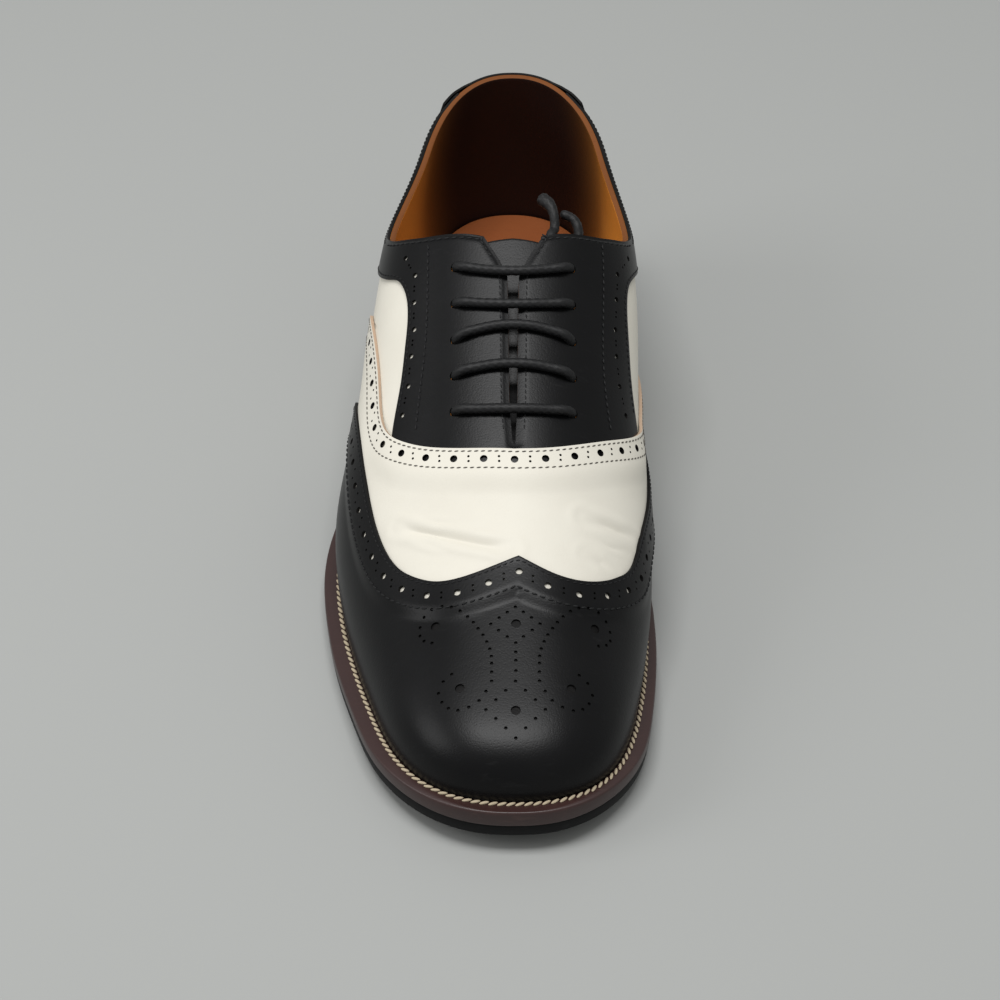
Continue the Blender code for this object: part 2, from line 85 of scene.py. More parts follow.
slit = {"s": [119.7, 124.0, 128.0, 133.0, 150.0, 175.0, 188.0], "x": [9.6, 6.9, 4.4, 1.9, 1.6, 1.3, 0.4]}
collarEnd, facingTop, throatEnd = 98.0, 119.7, 188.0


def bendOf(xs, ys):
    # second derivatives of the natural cubic spline through the points
    n, h = len(xs), np.diff(xs)
    rows, right = np.eye(n), np.zeros(n)
    for i in range(1, n - 1):
        rows[i, i - 1:i + 2] = h[i - 1], 2 * (h[i - 1] + h[i]), h[i]
        right[i] = 6 * ((ys[i + 1] - ys[i]) / h[i] - (ys[i] - ys[i - 1]) / h[i - 1])
    return np.linalg.solve(rows, right)


def spline(table, column, x):
    # smooth curve through a column of a table, whose bends are worked out once and kept in it
    key = column + " worked"
    if key not in table:
        xs, ys = np.array(table["s"], float), np.array(table[column], float)
        table[key] = xs, ys, np.diff(xs), bendOf(xs, ys)
    xs, ys, h, bend = table[key]
    x = np.asarray(x, float)
    k = np.clip(np.searchsorted(xs, x) - 1, 0, len(xs) - 2)
    left, past = xs[k + 1] - x, x - xs[k]
    curve = (bend[k] * left ** 3 + bend[k + 1] * past ** 3) / (6 * h[k])
    return curve + (ys[k] / h[k] - bend[k] * h[k] / 6) * left + (ys[k + 1] / h[k] - bend[k + 1] * h[k] / 6) * past


def closing(s, back, toe):
    # brings the half widths to nothing at the heel and at the toe
    f = lastForm
    t = np.clip((s - f["toeStart"]) / (toe - f["toeStart"]), 0, 1)
    h = np.clip((f["heelStart"] - s) / (f["heelStart"] - back), 0, 1)
    front = (1 - t ** f["toeSquare"]) ** (1 / f["toeSquare"])
    return front * (1 - h ** f["heelSquare"]) ** (1 / f["heelSquare"])


def lastPoint(s, c):
    # place on the last, as (x, s, z)
    f = lastForm
    s, c = np.broadcast_arrays(np.asarray(s, float), np.asarray(c, float))
    side, v = np.where(c < 0, -1.0, 1.0), (1 - np.abs(c))[..., None]
    width = np.where(c < 0, spline(sections, "lat", s), spline(sections, "med", s))
    body = np.where(c < 0, spline(sections, "bodyl", s), spline(sections, "bodym", s)) / width
    crown = np.where(c < 0, spline(sections, "crownl", s), spline(sections, "crownm", s)) / width
    base, rise = spline(sections, "base", s), spline(sections, "rise", s)
    past, before = np.clip(s - f["toeStart"], 0, None), np.clip(f["heelFan"] - s, 0, None)
    toeFan = (f["toe"] - f["toeRidge"]) / (f["toe"] - f["toeStart"]) ** 2
    heelFan = (f["heelRidge"] - f["back"]) / (f["heelFan"] - f["back"]) ** 2
    ks = s - toeFan * past ** 2 + heelFan * before ** 2
    kx, kz = spline(sections, "ridgex", ks), spline(sections, "ridgez", ks)
    slope = spline(sections, "ridgez", ks + 0.5) - spline(sections, "ridgez", ks - 0.5)
    dx = side * width * closing(s, f["back"], f["toe"]) - kx
    ds = s - ks
    p0 = np.stack([kx + dx, s, base], -1)
    p1 = np.stack([kx + dx * body, ks + ds * body, base + rise * (kz - base)], -1)
    p2 = np.stack([kx + dx * crown, ks + ds * crown, kz + slope * ds * crown], -1)
    p3 = np.stack([kx, ks, kz], -1)
    return (1 - v) ** 3 * p0 + 3 * (1 - v) ** 2 * v * p1 + 3 * (1 - v) * v * v * p2 + v ** 3 * p3


def lastNormal(s, c):
    # outward direction of the last's surface, smoothed over the ridge
    along = lastPoint(s + 0.5, c) - lastPoint(s - 0.5, c)
    across = lastPoint(s, np.minimum(c + 0.02, 1)) - lastPoint(s, np.maximum(c - 0.02, -1))
    normal = np.cross(across, along)
    return normal / np.linalg.norm(normal, axis=-1, keepdims=True)


def toWorld(points):
    points = np.asarray(points, float)
    x = points[..., 0] * mm + sideShift
    return np.stack([x, (lastForm["length"] / 2 - points[..., 1]) * mm, points[..., 2] * mm], -1)


def placeByHalving(s, side, reached):
    # v of each station where its section first reaches a limit
    low, high = np.zeros_like(s), np.ones_like(s)
    for _ in range(26):
        middle = (low + high) / 2
        past = reached(lastPoint(s, side * (1 - middle)), s)
        low, high = np.where(past, low, middle), np.where(past, middle, high)
    return high


def tabulateTop(side):
    # v of the collar and slit edge, worked out once for a row of stations
    s = np.sort(np.append(np.linspace(lastForm["back"], throatEnd, 600), [facingTop, facingTop + 0.01]))
    collar = placeByHalving(s, side, lambda p, q: p[..., 2] > spline(topLine, "z", np.minimum(q, collarEnd)))
    collar = np.where(s > collarEnd, spline(shoulder, "v", s), collar)
    throat = placeByHalving(s, side, lambda p, q: np.abs(p[..., 0] - spline(sections, "ridgex", q))
                            < np.interp(q, slit["s"], slit["x"]))
    return s, np.where(s > facingTop, throat, collar)


topTables = {side: tabulateTop(side) for side in (lateral, medial)}


def topEdge(side, s):
    stations, v = topTables[side]
    return np.where(np.asarray(s) >= throatEnd, 1.0, np.interp(s, stations, v))


def acrossPlace(s, x):
    # c of a place given by its station and its distance across
    side = lateral if x < 0 else medial
    v = placeByHalving(np.array([float(s)]), side, lambda p, q: np.abs(p[..., 0]) < abs(x))
    return side * (1 - float(v[0]))


print("last ready")


def smoothLine(points, count):
    # even points on a smooth curve through (s, c) places
    points = np.array(points, float)
    steps = np.hypot(np.diff(points[:, 0]), np.diff(points[:, 1]) * acrossScale)
    run = np.concatenate([[0], np.cumsum(steps)])
    t = np.linspace(0, run[-1], count)
    if len(points) < 3 or len(points) > 60:
        return np.stack([np.interp(t, run, points[:, i]) for i in (0, 1)], -1)
    table = {"s": run, "a": points[:, 0], "b": points[:, 1]}
    return np.stack([spline(table, "a", t), np.clip(spline(table, "b", t), -1, 1)], -1)


def chartMetric(points):
    s, c = points[:, 0], points[:, 1]
    js = lastPoint(s + 0.5, c) - lastPoint(s - 0.5, c)
    low, high = np.maximum(c - 0.005, -1), np.minimum(c + 0.005, 1)
    jc = (lastPoint(s, high) - lastPoint(s, low)) / (high - low)[:, None]
    return (js * js).sum(1), (js * jc).sum(1), (jc * jc).sum(1)


def shiftLine(points, distance, steps=6):
    # a line moved sideways over the surface by a distance in mm, to the left of its own run
    points = np.array(points, float)
    for _ in range(steps):
        e, f, g = chartMetric(points)
        t = np.gradient(points, axis=0)
        a, b = e * t[:, 0] + f * t[:, 1], f * t[:, 0] + g * t[:, 1]
        n = np.stack([-b, a], -1)
        size = np.sqrt(e * n[:, 0] ** 2 + 2 * f * n[:, 0] * n[:, 1] + g * n[:, 1] ** 2)
        points = points + n / size[:, None] * distance / steps
        points[:, 1] = np.clip(points[:, 1], -1, 1)
    return points


def trimAtRidge(points, side):
    # keeps a half of a line on its own side of the ridge and ends it there
    keep = points[points[:, 1] * side > 0.002]
    last = keep[-1]
    return np.vstack([keep, [[last[0] + (last[0] - keep[-2][0]) * 0.5, 0.0]]])


def wholeLine(halves):
    # lateral half from the feather line to the ridge, then the medial half back down
    return np.vstack([halves[lateral], halves[medial][::-1][1:]])


def runAlong(places):
    # length of a path up to each of its points
    return np.concatenate([[0], np.cumsum(np.linalg.norm(np.diff(places, axis=0), axis=1))])


def lineRun(points):
    return runAlong(lastPoint(points[:, 0], points[:, 1]))


def walkLine(points, pitch, start=0.0, margin=0.0):
    # places every pitch mm along a line, measured both ways from start
    run = lineRun(points)
    first = math.ceil((margin - start) / pitch)
    final = math.floor((run[-1] - margin - start) / pitch)
    t = start + pitch * np.arange(first, final + 1)
    return np.stack([np.interp(t, run, points[:, i]) for i in (0, 1)], -1)


def ridgeRun(points):
    # how far along a line it crosses the ridge
    run = lineRun(points)
    k = int(np.argmin(np.abs(points[:, 1])))
    return run[k]


wingEdge = {
    lateral: [(118, 0), (124, .12), (135, .27), (152, .40), (172, .465), (190, .478), (208, .50), (219, .55),
              (226, .63), (229.5, .71), (230, .80), (228, .90), (224.5, 1)],
    medial: [(118, 0), (128, .11), (142, .21), (160, .29), (179, .34), (192, .39), (206, .44), (216, .475),
             (222, .54), (227, .63), (230, .745), (229.3, .87), (224.5, 1)],
}
bandEdge = {
    lateral: [(90, 0), (94, .12), (103, .28), (116, .42), (134, .515), (157, .555), (174, .602),
              (179, .65), (184.5, .735), (188.5, .865), (190, 1)],
    medial: [(94, 0), (100, .10), (112, .21), (128, .30), (143, .36), (158, .42), (171, .536),
             (180, .674), (187.4, .838), (189.5, .93), (190, 1)],
}
facingEdge = {
    lateral: [(117, .585), (123, .655), (131, .69), (147, .675), (158, .652), (174, .606), (186, .56)],
    medial: [(115, .56), (120, .592), (127, .60), (139, .567), (150, .527), (161.5, .472), (173, .41)],
}
counterEdge = [(66, 0), (50, .09), (35, .20), (24, .34)]
counterTop, stripHeight = 18.0, 13.0
stripStations = (17, 24, 32, 45, 58, 70, 82, 92, 102)


def charted(side, points):
    return [(s, side * (1 - v)) for s, v in points]


def halfLines(edges, count=400):
    return {side: smoothLine(charted(side, edges[side]), count) for side in (lateral, medial)}


wingHalves, bandHalves = halfLines(wingEdge), halfLines(bandEdge)


def rowInside(halves, distance):
    # a row at a distance towards the toe from an edge given in halves
    moved = {side: trimAtRidge(shiftLine(halves[side], side * distance), side) for side in halves}
    return wholeLine(moved)


def coons(back, front, low, high, rows, columns):
    # grid between four edges: rows run from back to front, columns from low to high
    back, front = smoothLine(back, columns), smoothLine(front, columns)
    low, high = smoothLine(low, rows), smoothLine(high, rows)
    u = np.linspace(0, 1, rows)[:, None, None]
    w = np.linspace(0, 1, columns)[None, :, None]
    ruled = (1 - u) * back[None] + u * front[None] + (1 - w) * low[:, None] + w * high[:, None]
    corners = (1 - u) * (1 - w) * low[0] + u * (1 - w) * low[-1] + (1 - u) * w * high[0] + u * w * high[-1]
    return ruled - corners


def between(side, back, front, share, lowEdge, highEdge, rows):
    # grid from a back line to a front line, its columns at even shares of the height between two edges
    def shareOf(line):
        low, high = lowEdge(line[:, 0]), highEdge(line[:, 0])
        return (1 - np.abs(line[:, 1]) - low) / (high - low)

    first = np.interp(share, shareOf(back), back[:, 0])
    final = np.interp(share, shareOf(front), front[:, 0])
    s = first + (final - first) * rows[:, None]
    v = lowEdge(s) + (highEdge(s) - lowEdge(s)) * share
    chart = np.stack([s, side * (1 - v)], -1)
    return chart if side == lateral else chart[:, ::-1]


def gridCells(bm, rows, columns):
    # a new grid's vertices, each with its row and column
    before = set(bm.verts)
    bmesh.ops.create_grid(bm, x_segments=columns - 1, y_segments=rows - 1, size=0.5)
    for vert in set(bm.verts) - before:
        yield vert, round((vert.co.y + 0.5) * (rows - 1)), round((vert.co.x + 0.5) * (columns - 1))


def sheetMesh(charts, lifts):
    # flat grids, each crossing carried to its place on the last, merged and lifted off it
    bm = bmesh.new()
    height = bm.verts.layers.float.new("height")
    for chart, lift in zip(charts, lifts):
        rows, columns = chart.shape[:2]
        tucked = np.where(np.abs(chart[..., 1]) > 0.9995, 1 + tuck, 1.0)
        chart = np.stack([chart[..., 0], chart[..., 1] * tucked], -1)
        place = toWorld(lastPoint(chart[..., 0], chart[..., 1]))
        for vert, i, j in gridCells(bm, rows, columns):
            vert.co = place[rows - 1 - i, j]
            vert[height] = lift[rows - 1 - i, j]
    bmesh.ops.remove_doubles(bm, verts=bm.verts, dist=mergeGap)
    bmesh.ops.dissolve_degenerate(bm, edges=bm.edges, dist=0.00001)
    bm.normal_update()
    for vert in bm.verts:
        vert.co += vert.normal * vert[height] * mm
    return bm


edgeLook = {"rounding": 0.35, "segments": 2, "sharpest": 55, "shading": 40}


def newObject(name, bm, materials):
    mesh = bpy.data.meshes.new(name)
    bm.to_mesh(mesh)
    bm.free()
    for material in materials:
        mesh.materials.append(material)
    made = bpy.data.objects.new(name, mesh)
    bpy.context.scene.collection.objects.link(made)
    return made


def applyAll(made):
    # bakes the modifiers into the mesh and shades it
    graph = bpy.context.evaluated_depsgraph_get()
    mesh = bpy.data.meshes.new_from_object(made.evaluated_get(graph))
    old = made.data
    made.modifiers.clear()
    made.data = mesh
    bpy.data.meshes.remove(old)
    mesh.shade_smooth()
    mesh.set_sharp_from_angle(angle=math.radians(edgeLook["shading"]))
    return made


def thicken(made, thickness, outward=True, rounding=edgeLook["rounding"]):
    wall = made.modifiers.new("wall", "SOLIDIFY")
    wall.thickness = thickness * mm
    wall.offset = 1 if outward else -1
    wall.material_offset_rim = 1
    soft = made.modifiers.new("soft", "BEVEL")
    soft.width = rounding * mm
    soft.segments = edgeLook["segments"]
    soft.limit_method = "ANGLE"
    soft.angle_limit = math.radians(edgeLook["sharpest"])
    return made


def chartPin(s, c, radius, floor):
    # a hole's place on the last, its direction, radius and the height its punch starts at
    n = lastNormal(np.array(float(s)), np.array(float(c)))
    return Vector(toWorld(lastPoint(s, c))), Vector((n[0], -n[1], n[2])), radius, floor


def punch(made, pins, slotIndex):
    # holes cut by one mesh of pins
    tool = bmesh.new()
    for point, normal, radius, floor in pins:
        turn = normal.to_track_quat("Z", "Y").to_matrix().to_4x4()
        middle = point + normal * (floor + pinLength / 2) * mm
        bmesh.ops.create_cone(tool, cap_ends=True, segments=14, radius1=radius * mm, radius2=radius * mm,
                              depth=pinLength * mm, matrix=Matrix.Translation(middle) @ turn)
    for face in tool.faces:
        face.material_index = slotIndex
    cutter = newObject(made.name + "Pins", tool, list(made.data.materials))
    cut = made.modifiers.new("punch", "BOOLEAN")
    cut.operation = "DIFFERENCE"
    cut.solver = "EXACT"
    cut.object = cutter
    applyAll(made)
    bpy.data.objects.remove(cutter)
    return made


def surfaceOf(*objects):
    # one tree of the finished surfaces, to lay thread on
    verts, faces = [], []
    for made in objects:
        first = len(verts)
        verts += [v.co.copy() for v in made.data.vertices]
        faces += [[first + i for i in p.vertices] for p in made.data.polygons]
    return BVHTree.FromPolygons(verts, faces)


def addStitch(bm, place, along, up, look, around, rings):
    # one stitch as a small round body that leans across its row
    axes = Matrix((along, up.cross(along), up)).transposed().to_4x4()
    size = Matrix.Diagonal((look["length"] / 2 * mm, look["width"] / 2 * mm, look["height"] / 2 * mm, 1))
    lean = Matrix.Rotation(math.radians(look["lean"]), 4, "Z")
    bmesh.ops.create_uvsphere(bm, u_segments=around, v_segments=rings, radius=1.0,
                              matrix=Matrix.Translation(place) @ axes @ lean @ size)


def stitchRow(bm, tree, line, look, reach=7.0):
    # a row of separate stitches laid on the leather along a line of the chart
    places = walkLine(line, look["pitch"], margin=look["margin"])
    spots = toWorld(lastPoint(places[:, 0], places[:, 1]))
    halfway = (places[1:] + places[:-1]) / 2
    middles = toWorld(lastPoint(halfway[:, 0], halfway[:, 1]))
    normals = lastNormal(halfway[:, 0], halfway[:, 1]) * (1, -1, 1)
    row = bmesh.new()
    for a, b, middle, normal in zip(spots, spots[1:], middles, normals):
        middle, normal = Vector(middle), Vector(normal)
        hit = tree.ray_cast(middle + normal * reach * mm, -normal, 2 * reach * mm)[0]
        if hit is None:
            continue
        along = Vector(b - a)
        along = (along - normal * along.dot(normal)).normalized()
        addStitch(row, hit + normal * look["sit"] * mm, along, normal, look, thread["around"], thread["along"])
    joined = bpy.data.meshes.new("row")
    row.to_mesh(joined)
    row.free()
    bm.from_mesh(joined)
    bpy.data.meshes.remove(joined)


# Shared effects, each a node group built once
def startGroup(name, inputs, outputs):
    group = bpy.data.node_groups.new(name, "ShaderNodeTree")
    for label, kind, value in inputs:
        socket = group.interface.new_socket(label, in_out="INPUT", socket_type=kind)
        socket.default_value = value
    for label, kind in outputs:
        group.interface.new_socket(label, in_out="OUTPUT", socket_type=kind)
    return group, group.nodes.new("NodeGroupInput"), group.nodes.new("NodeGroupOutput")


def mathNode(tree, operation, a, b=None, clamp=False):
    node = tree.nodes.new("ShaderNodeMath")
    node.operation = operation
    node.use_clamp = clamp
    for socket, value in zip(node.inputs, (a, b)):
        if value is None:
            continue
        if isinstance(value, (int, float)):
            socket.default_value = value
        else:
            tree.links.new(value, socket)
    return node.outputs[0]


def noiseNode(tree, vector, scale, detail=3.0, roughness=0.55):
    node = tree.nodes.new("ShaderNodeTexNoise")
    node.inputs["Detail"].default_value = detail
    node.inputs["Roughness"].default_value = roughness
    tree.links.new(vector, node.inputs["Vector"])
    if isinstance(scale, (int, float)):
        node.inputs["Scale"].default_value = scale
    else:
        tree.links.new(scale, node.inputs["Scale"])
    return node.outputs["Fac"]


grainLook = {"pores": 1500.0, "poreFloor": 0.45, "folds": 420.0, "mottle": 38.0}
wearLook = {"turn": (0.3, 0.5, 0.9), "stretch": (1.0, 7.0, 3.0), "streaks": 90.0, "patches": 22.0,
            "threshold": 0.58, "gain": 9.0}


def makeGrainGroup():
    # pores, fine wrinkles and slow mottling of smooth leather
    inputs = [("Scale", "NodeSocketFloat", 1.0), ("Wrinkle", "NodeSocketFloat", 0.4)]
    group, inside, outside = startGroup("leatherGrain", inputs,
                                        [("Height", "NodeSocketFloat"), ("Mottle", "NodeSocketFloat")])
    place = group.nodes.new("ShaderNodeTexCoord").outputs["Object"]
    poreScale = mathNode(group, "MULTIPLY", inside.outputs["Scale"], grainLook["pores"])
    pores = group.nodes.new("ShaderNodeTexVoronoi")
    group.links.new(place, pores.inputs["Vector"])
    group.links.new(poreScale, pores.inputs["Scale"])
    cell = mathNode(group, "SMOOTH_MIN", pores.outputs["Distance"], grainLook["poreFloor"])
    foldScale = mathNode(group, "MULTIPLY", inside.outputs["Scale"], grainLook["folds"])
    fold = noiseNode(group, place, foldScale, 4.0, 0.6)
    folded = mathNode(group, "MULTIPLY", fold, inside.outputs["Wrinkle"])
    group.links.new(mathNode(group, "ADD", cell, folded), outside.inputs["Height"])
    group.links.new(noiseNode(group, place, grainLook["mottle"], 5.0, 0.6), outside.inputs["Mottle"])
    return group


def makeWearGroup():
    # small scuffs: thin broken scratches that catch the light
    group, inside, outside = startGroup("scuffs", [("Amount", "NodeSocketFloat", 0.5)],
                                        [("Mask", "NodeSocketFloat")])
    place = group.nodes.new("ShaderNodeTexCoord").outputs["Object"]
    stretch = group.nodes.new("ShaderNodeMapping")
    stretch.inputs["Rotation"].default_value = wearLook["turn"]
    stretch.inputs["Scale"].default_value = wearLook["stretch"]
    group.links.new(place, stretch.inputs["Vector"])
    streak = noiseNode(group, stretch.outputs["Vector"], wearLook["streaks"], 6.0, 0.7)
    patch = noiseNode(group, place, wearLook["patches"], 2.0, 0.5)
    both = mathNode(group, "MULTIPLY", mathNode(group, "SUBTRACT", streak, wearLook["threshold"], True), patch)
    strong = mathNode(group, "MULTIPLY", both, wearLook["gain"], True)
    group.links.new(mathNode(group, "MULTIPLY", strong, inside.outputs["Amount"]), outside.inputs["Mask"])
    return group


grainGroup, wearGroup = makeGrainGroup(), makeWearGroup()


def mixColour(tree, factor, a, b):
    node = tree.nodes.new("ShaderNodeMix")
    node.data_type = "RGBA"
    tree.links.new(factor, node.inputs["Factor"])
    for socket, value in ((node.inputs["A"], a), (node.inputs["B"], b)):
        if isinstance(value, tuple):
            socket.default_value = (*value, 1)
        else:
            tree.links.new(value, socket)
    return node.outputs["Result"]


def leather(name, look):
    # colour with slow mottling and scuffs, grain as bump; where a painted shade colour is given, the colour is
    # darkened towards the heel as painted shade
    made = bpy.data.materials.new(name)
    made.use_nodes = True
    tree = made.node_tree
    shader = tree.nodes["Principled BSDF"]
    grain = tree.nodes.new("ShaderNodeGroup")
    grain.node_tree = grainGroup
    grain.inputs["Scale"].default_value = look["grainScale"]
    grain.inputs["Wrinkle"].default_value = look["wrinkle"]
    wear = tree.nodes.new("ShaderNodeGroup")
    wear.node_tree = wearGroup
    wear.inputs["Amount"].default_value = look["scuffs"]
    tone = mixColour(tree, grain.outputs["Mottle"], look["dark"], look["light"])
    worn = mixColour(tree, wear.outputs["Mask"], tone, look["worn"])
    # painted shade: a smooth ramp along the shoe darkens the colour to near black towards the heel, standing in for
    # the shadow deep inside the heel; from here worn holds both the scuffs and this painted shade
    if "paintedShade" in look:
        place = tree.nodes.new("ShaderNodeTexCoord").outputs["Object"]
        parts, (near, far) = tree.nodes.new("ShaderNodeSeparateXYZ"), look["paintedShadeRange"]
        tree.links.new(place, parts.inputs[0])
        paintedShadeMask = tree.nodes.new("ShaderNodeMapRange")
        paintedShadeMask.interpolation_type = "SMOOTHSTEP"
        paintedShadeMask.inputs["From Min"].default_value, paintedShadeMask.inputs["From Max"].default_value = near, far
        tree.links.new(parts.outputs["Y"], paintedShadeMask.inputs["Value"])
        worn = mixColour(tree, paintedShadeMask.outputs["Result"], worn, look["paintedShade"])
    tree.links.new(worn, shader.inputs["Base Color"])
    swing = mathNode(tree, "MULTIPLY", grain.outputs["Mottle"], look["roughSwing"])
    rough = mathNode(tree, "ADD", swing, look["roughness"])
    tree.links.new(mathNode(tree, "ADD", rough, mathNode(tree, "MULTIPLY", wear.outputs["Mask"], 0.15)),
                   shader.inputs["Roughness"])
    shader.inputs["Coat Weight"].default_value = look["coat"]
    shader.inputs["Coat Roughness"].default_value = look["coatRoughness"]
    shader.inputs["Specular IOR Level"].default_value = look["specular"]
    bump = tree.nodes.new("ShaderNodeBump")
    bump.inputs["Strength"].default_value = look["bump"]
    bump.inputs["Distance"].default_value = 0.0002
    tree.links.new(grain.outputs["Height"], bump.inputs["Height"])
    tree.links.new(bump.outputs["Normal"], shader.inputs["Normal"])
    return made


# every leather starts from the plain one and states what differs
plainLeather = {"roughness": 0.5, "roughSwing": 0.12, "coat": 0.0, "coatRoughness": 0.3, "specular": 0.35,
                "grainScale": 1.4, "wrinkle": 0.8, "bump": 0.3, "scuffs": 0.4}
leathers = {
    "blackCalf": {"dark": (0.0018, 0.0018, 0.0021), "light": (0.0045, 0.0045, 0.005), "worn": (0.025, 0.025, 0.026),
                  "roughness": 0.30, "roughSwing": 0.10, "coatRoughness": 0.22, "specular": 0.17,
                  "grainScale": 1.0, "wrinkle": 0.5, "bump": 0.22, "scuffs": 0.25},
    "whiteCalf": {"dark": (0.67, 0.635, 0.555), "light": (0.75, 0.72, 0.64), "worn": (0.60, 0.55, 0.46),
                  "roughness": 0.45, "roughSwing": 0.10, "coatRoughness": 0.35, "specular": 0.2,
                  "grainScale": 0.9, "wrinkle": 0.5, "bump": 0.20, "scuffs": 0.12},
    "tanLining": {"dark": (0.68, 0.235, 0.022), "light": (0.80, 0.315, 0.040), "worn": (0.25, 0.075, 0.012),
                  # painted shade: the lining's back is darkened to near black, standing in for the shadow inside
                  # the heel
                  "paintedShade": (0.012, 0.002, 0.0006), "paintedShadeRange": (0.068, 0.140),
                  "roughness": 0.55, "grainScale": 0.8, "bump": 0.35, "scuffs": 0.5},
    "rimBrown": {"dark": (0.13, 0.042, 0.012), "light": (0.21, 0.072, 0.02), "worn": (0.08, 0.027, 0.009),
                 "roughness": 0.6, "specular": 0.15, "wrinkle": 0.9},
    "insoleBrown": {"dark": (0.23, 0.062, 0.015), "light": (0.30, 0.086, 0.022), "worn": (0.15, 0.045, 0.015),
                    "specular": 0.4, "grainScale": 0.8, "scuffs": 0.6},
    "rawEdge": {"dark": (0.42, 0.29, 0.20), "light": (0.56, 0.42, 0.31), "worn": (0.34, 0.22, 0.14),
                "roughness": 0.75, "roughSwing": 0.1, "specular": 0.25, "grainScale": 2.2, "wrinkle": 1.2,
                "bump": 0.6, "scuffs": 0.5},
    "inkedEdge": {"dark": (0.0035, 0.0032, 0.0032), "light": (0.008, 0.0075, 0.0075), "worn": (0.06, 0.055, 0.05),
                  "roughSwing": 0.1, "specular": 0.12, "grainScale": 2.2, "wrinkle": 1.2, "bump": 0.5},
    "weltBrown": {"dark": (0.022, 0.0072, 0.0064), "light": (0.040, 0.0145, 0.0125), "worn": (0.09, 0.045, 0.036),
                  "roughness": 0.36, "roughSwing": 0.14, "coat": 0.1, "coatRoughness": 0.25, "specular": 0.5,
                  "wrinkle": 1.0, "bump": 0.25},
    "soleBlack": {"dark": (0.003, 0.003, 0.0033), "light": (0.007, 0.007, 0.0075), "worn": (0.04, 0.04, 0.042),
                  "roughSwing": 0.14, "specular": 0.15, "grainScale": 1.2, "wrinkle": 1.3, "scuffs": 0.6},
}
made = {name: leather(name, {**plainLeather, **look}) for name, look in leathers.items()}
blackCalf, whiteCalf, tanLining = made["blackCalf"], made["whiteCalf"], made["tanLining"]
insoleBrown, rawEdge, inkedEdge = made["insoleBrown"], made["rawEdge"], made["inkedEdge"]
rimBrown = made["rimBrown"]
weltBrown, soleBlack = made["weltBrown"], made["soleBlack"]


def threadMaterial(name, colour, light, roughness, twist):
    # plied thread or cord: fine fibres run across the stitch
    made = bpy.data.materials.new(name)
    made.use_nodes = True
    tree = made.node_tree
    shader = tree.nodes["Principled BSDF"]
    place = tree.nodes.new("ShaderNodeTexCoord").outputs["Object"]
    fibre = noiseNode(tree, place, twist, 4.0, 0.7)
    tree.links.new(mixColour(tree, fibre, colour, light), shader.inputs["Base Color"])
    tree.links.new(mathNode(tree, "ADD", mathNode(tree, "MULTIPLY", fibre, 0.2), roughness),
                   shader.inputs["Roughness"])
    bump = tree.nodes.new("ShaderNodeBump")
    bump.inputs["Strength"].default_value = 0.5
    bump.inputs["Distance"].default_value = 0.00015
    shader.inputs["Specular IOR Level"].default_value = 0.3
    tree.links.new(fibre, bump.inputs["Height"])
    tree.links.new(bump.outputs["Normal"], shader.inputs["Normal"])
    return made


blackThread = threadMaterial("blackThread", (0.003, 0.003, 0.0035), (0.009, 0.009, 0.010), 0.5, 2600.0)
greyThread = threadMaterial("greyThread", (0.05, 0.045, 0.04), (0.13, 0.115, 0.10), 0.6, 2600.0)
creamThread = threadMaterial("creamThread", (0.30, 0.235, 0.15), (0.62, 0.53, 0.39), 0.6, 1400.0)
lacedCord = threadMaterial("lacedCord", (0.002, 0.002, 0.0024), (0.014, 0.014, 0.015), 0.42, 1800.0)
print("materials ready")


def placePiece(made, slot, *nodes):
    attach(made, "root")
    if nodes:
        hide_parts(*nodes)
    return made


def edgeDistance(chart, line):
    # shortest way in mm from each crossing to a line, straight through the air
    place = lastPoint(chart[..., 0], chart[..., 1]).reshape(-1, 3)
    mark = lastPoint(line[:, 0], line[:, 1])
    parts = [np.sqrt(((part[:, None] - mark[None]) ** 2).sum(-1).min(1)) for part in np.array_split(place, 40)]
    return np.concatenate(parts).reshape(chart.shape[:2])


def smoothStep(x, low, high):
    t = np.clip((x - low) / (high - low), 0, 1)
    return t * t * (3 - 2 * t)


def topPath(side):
    # the collar and slit edge as one line
    s = np.concatenate([np.linspace(lastForm["back"], 110, 220), np.linspace(110.3, 134, 160),
                        np.linspace(134.5, throatEnd, 110)])
    return np.stack([s, side * (1 - topEdge(side, s))], -1)


# Lining: the whole hollow wall of the upper, tan inside and at the collar's rim, its colour darkened to near black
# towards the heel as painted shade
liningLook = {"wall": 2.0, "rows": 40, "middle": 90, "ends": 22, "rounding": 0.7, "eyeletRadius": 1.75,
              "eyeletFloor": -4.5}
# heights in mm over the last, and how far one panel reaches under the next
layers = {"quarter": 0.03, "close": 0.05, "overQuarter": 0.57, "over": 0.62, "reach": 9.0}


def stationsFor(back, toe, ends, middle):
    f = lastForm
    turn = np.linspace(0, math.pi / 2, ends, endpoint=False)
    heel = back + (f["heelStart"] - back) * (1 - np.cos(turn))
    front = f["toeStart"] + (toe - f["toeStart"]) * np.sin(np.linspace(0, math.pi / 2, ends + 1)[1:])
    return np.concatenate([heel, np.linspace(f["heelStart"], f["toeStart"], middle), front])


laceRows = {"first": 128.4, "pitch": 11.7, "x": 18.5, "sways": [4.0, 3.0, -2.0, -1.0, 2.0],
            "shares": (0.88, 0.66, 0.33, 0.0, -0.33, -0.66, -0.88),
            "through": [(0.4, -4.6), (0.0, -1.2), (0.3, 1.6)], "inside": (0.6, -5.0)}
eyeletStations = [laceRows["first"] + laceRows["pitch"] * i for i in range(len(laceRows["sways"]))]
eyelets = [(s, acrossPlace(s, side * laceRows["x"])) for s in eyeletStations for side in (lateral, medial)]


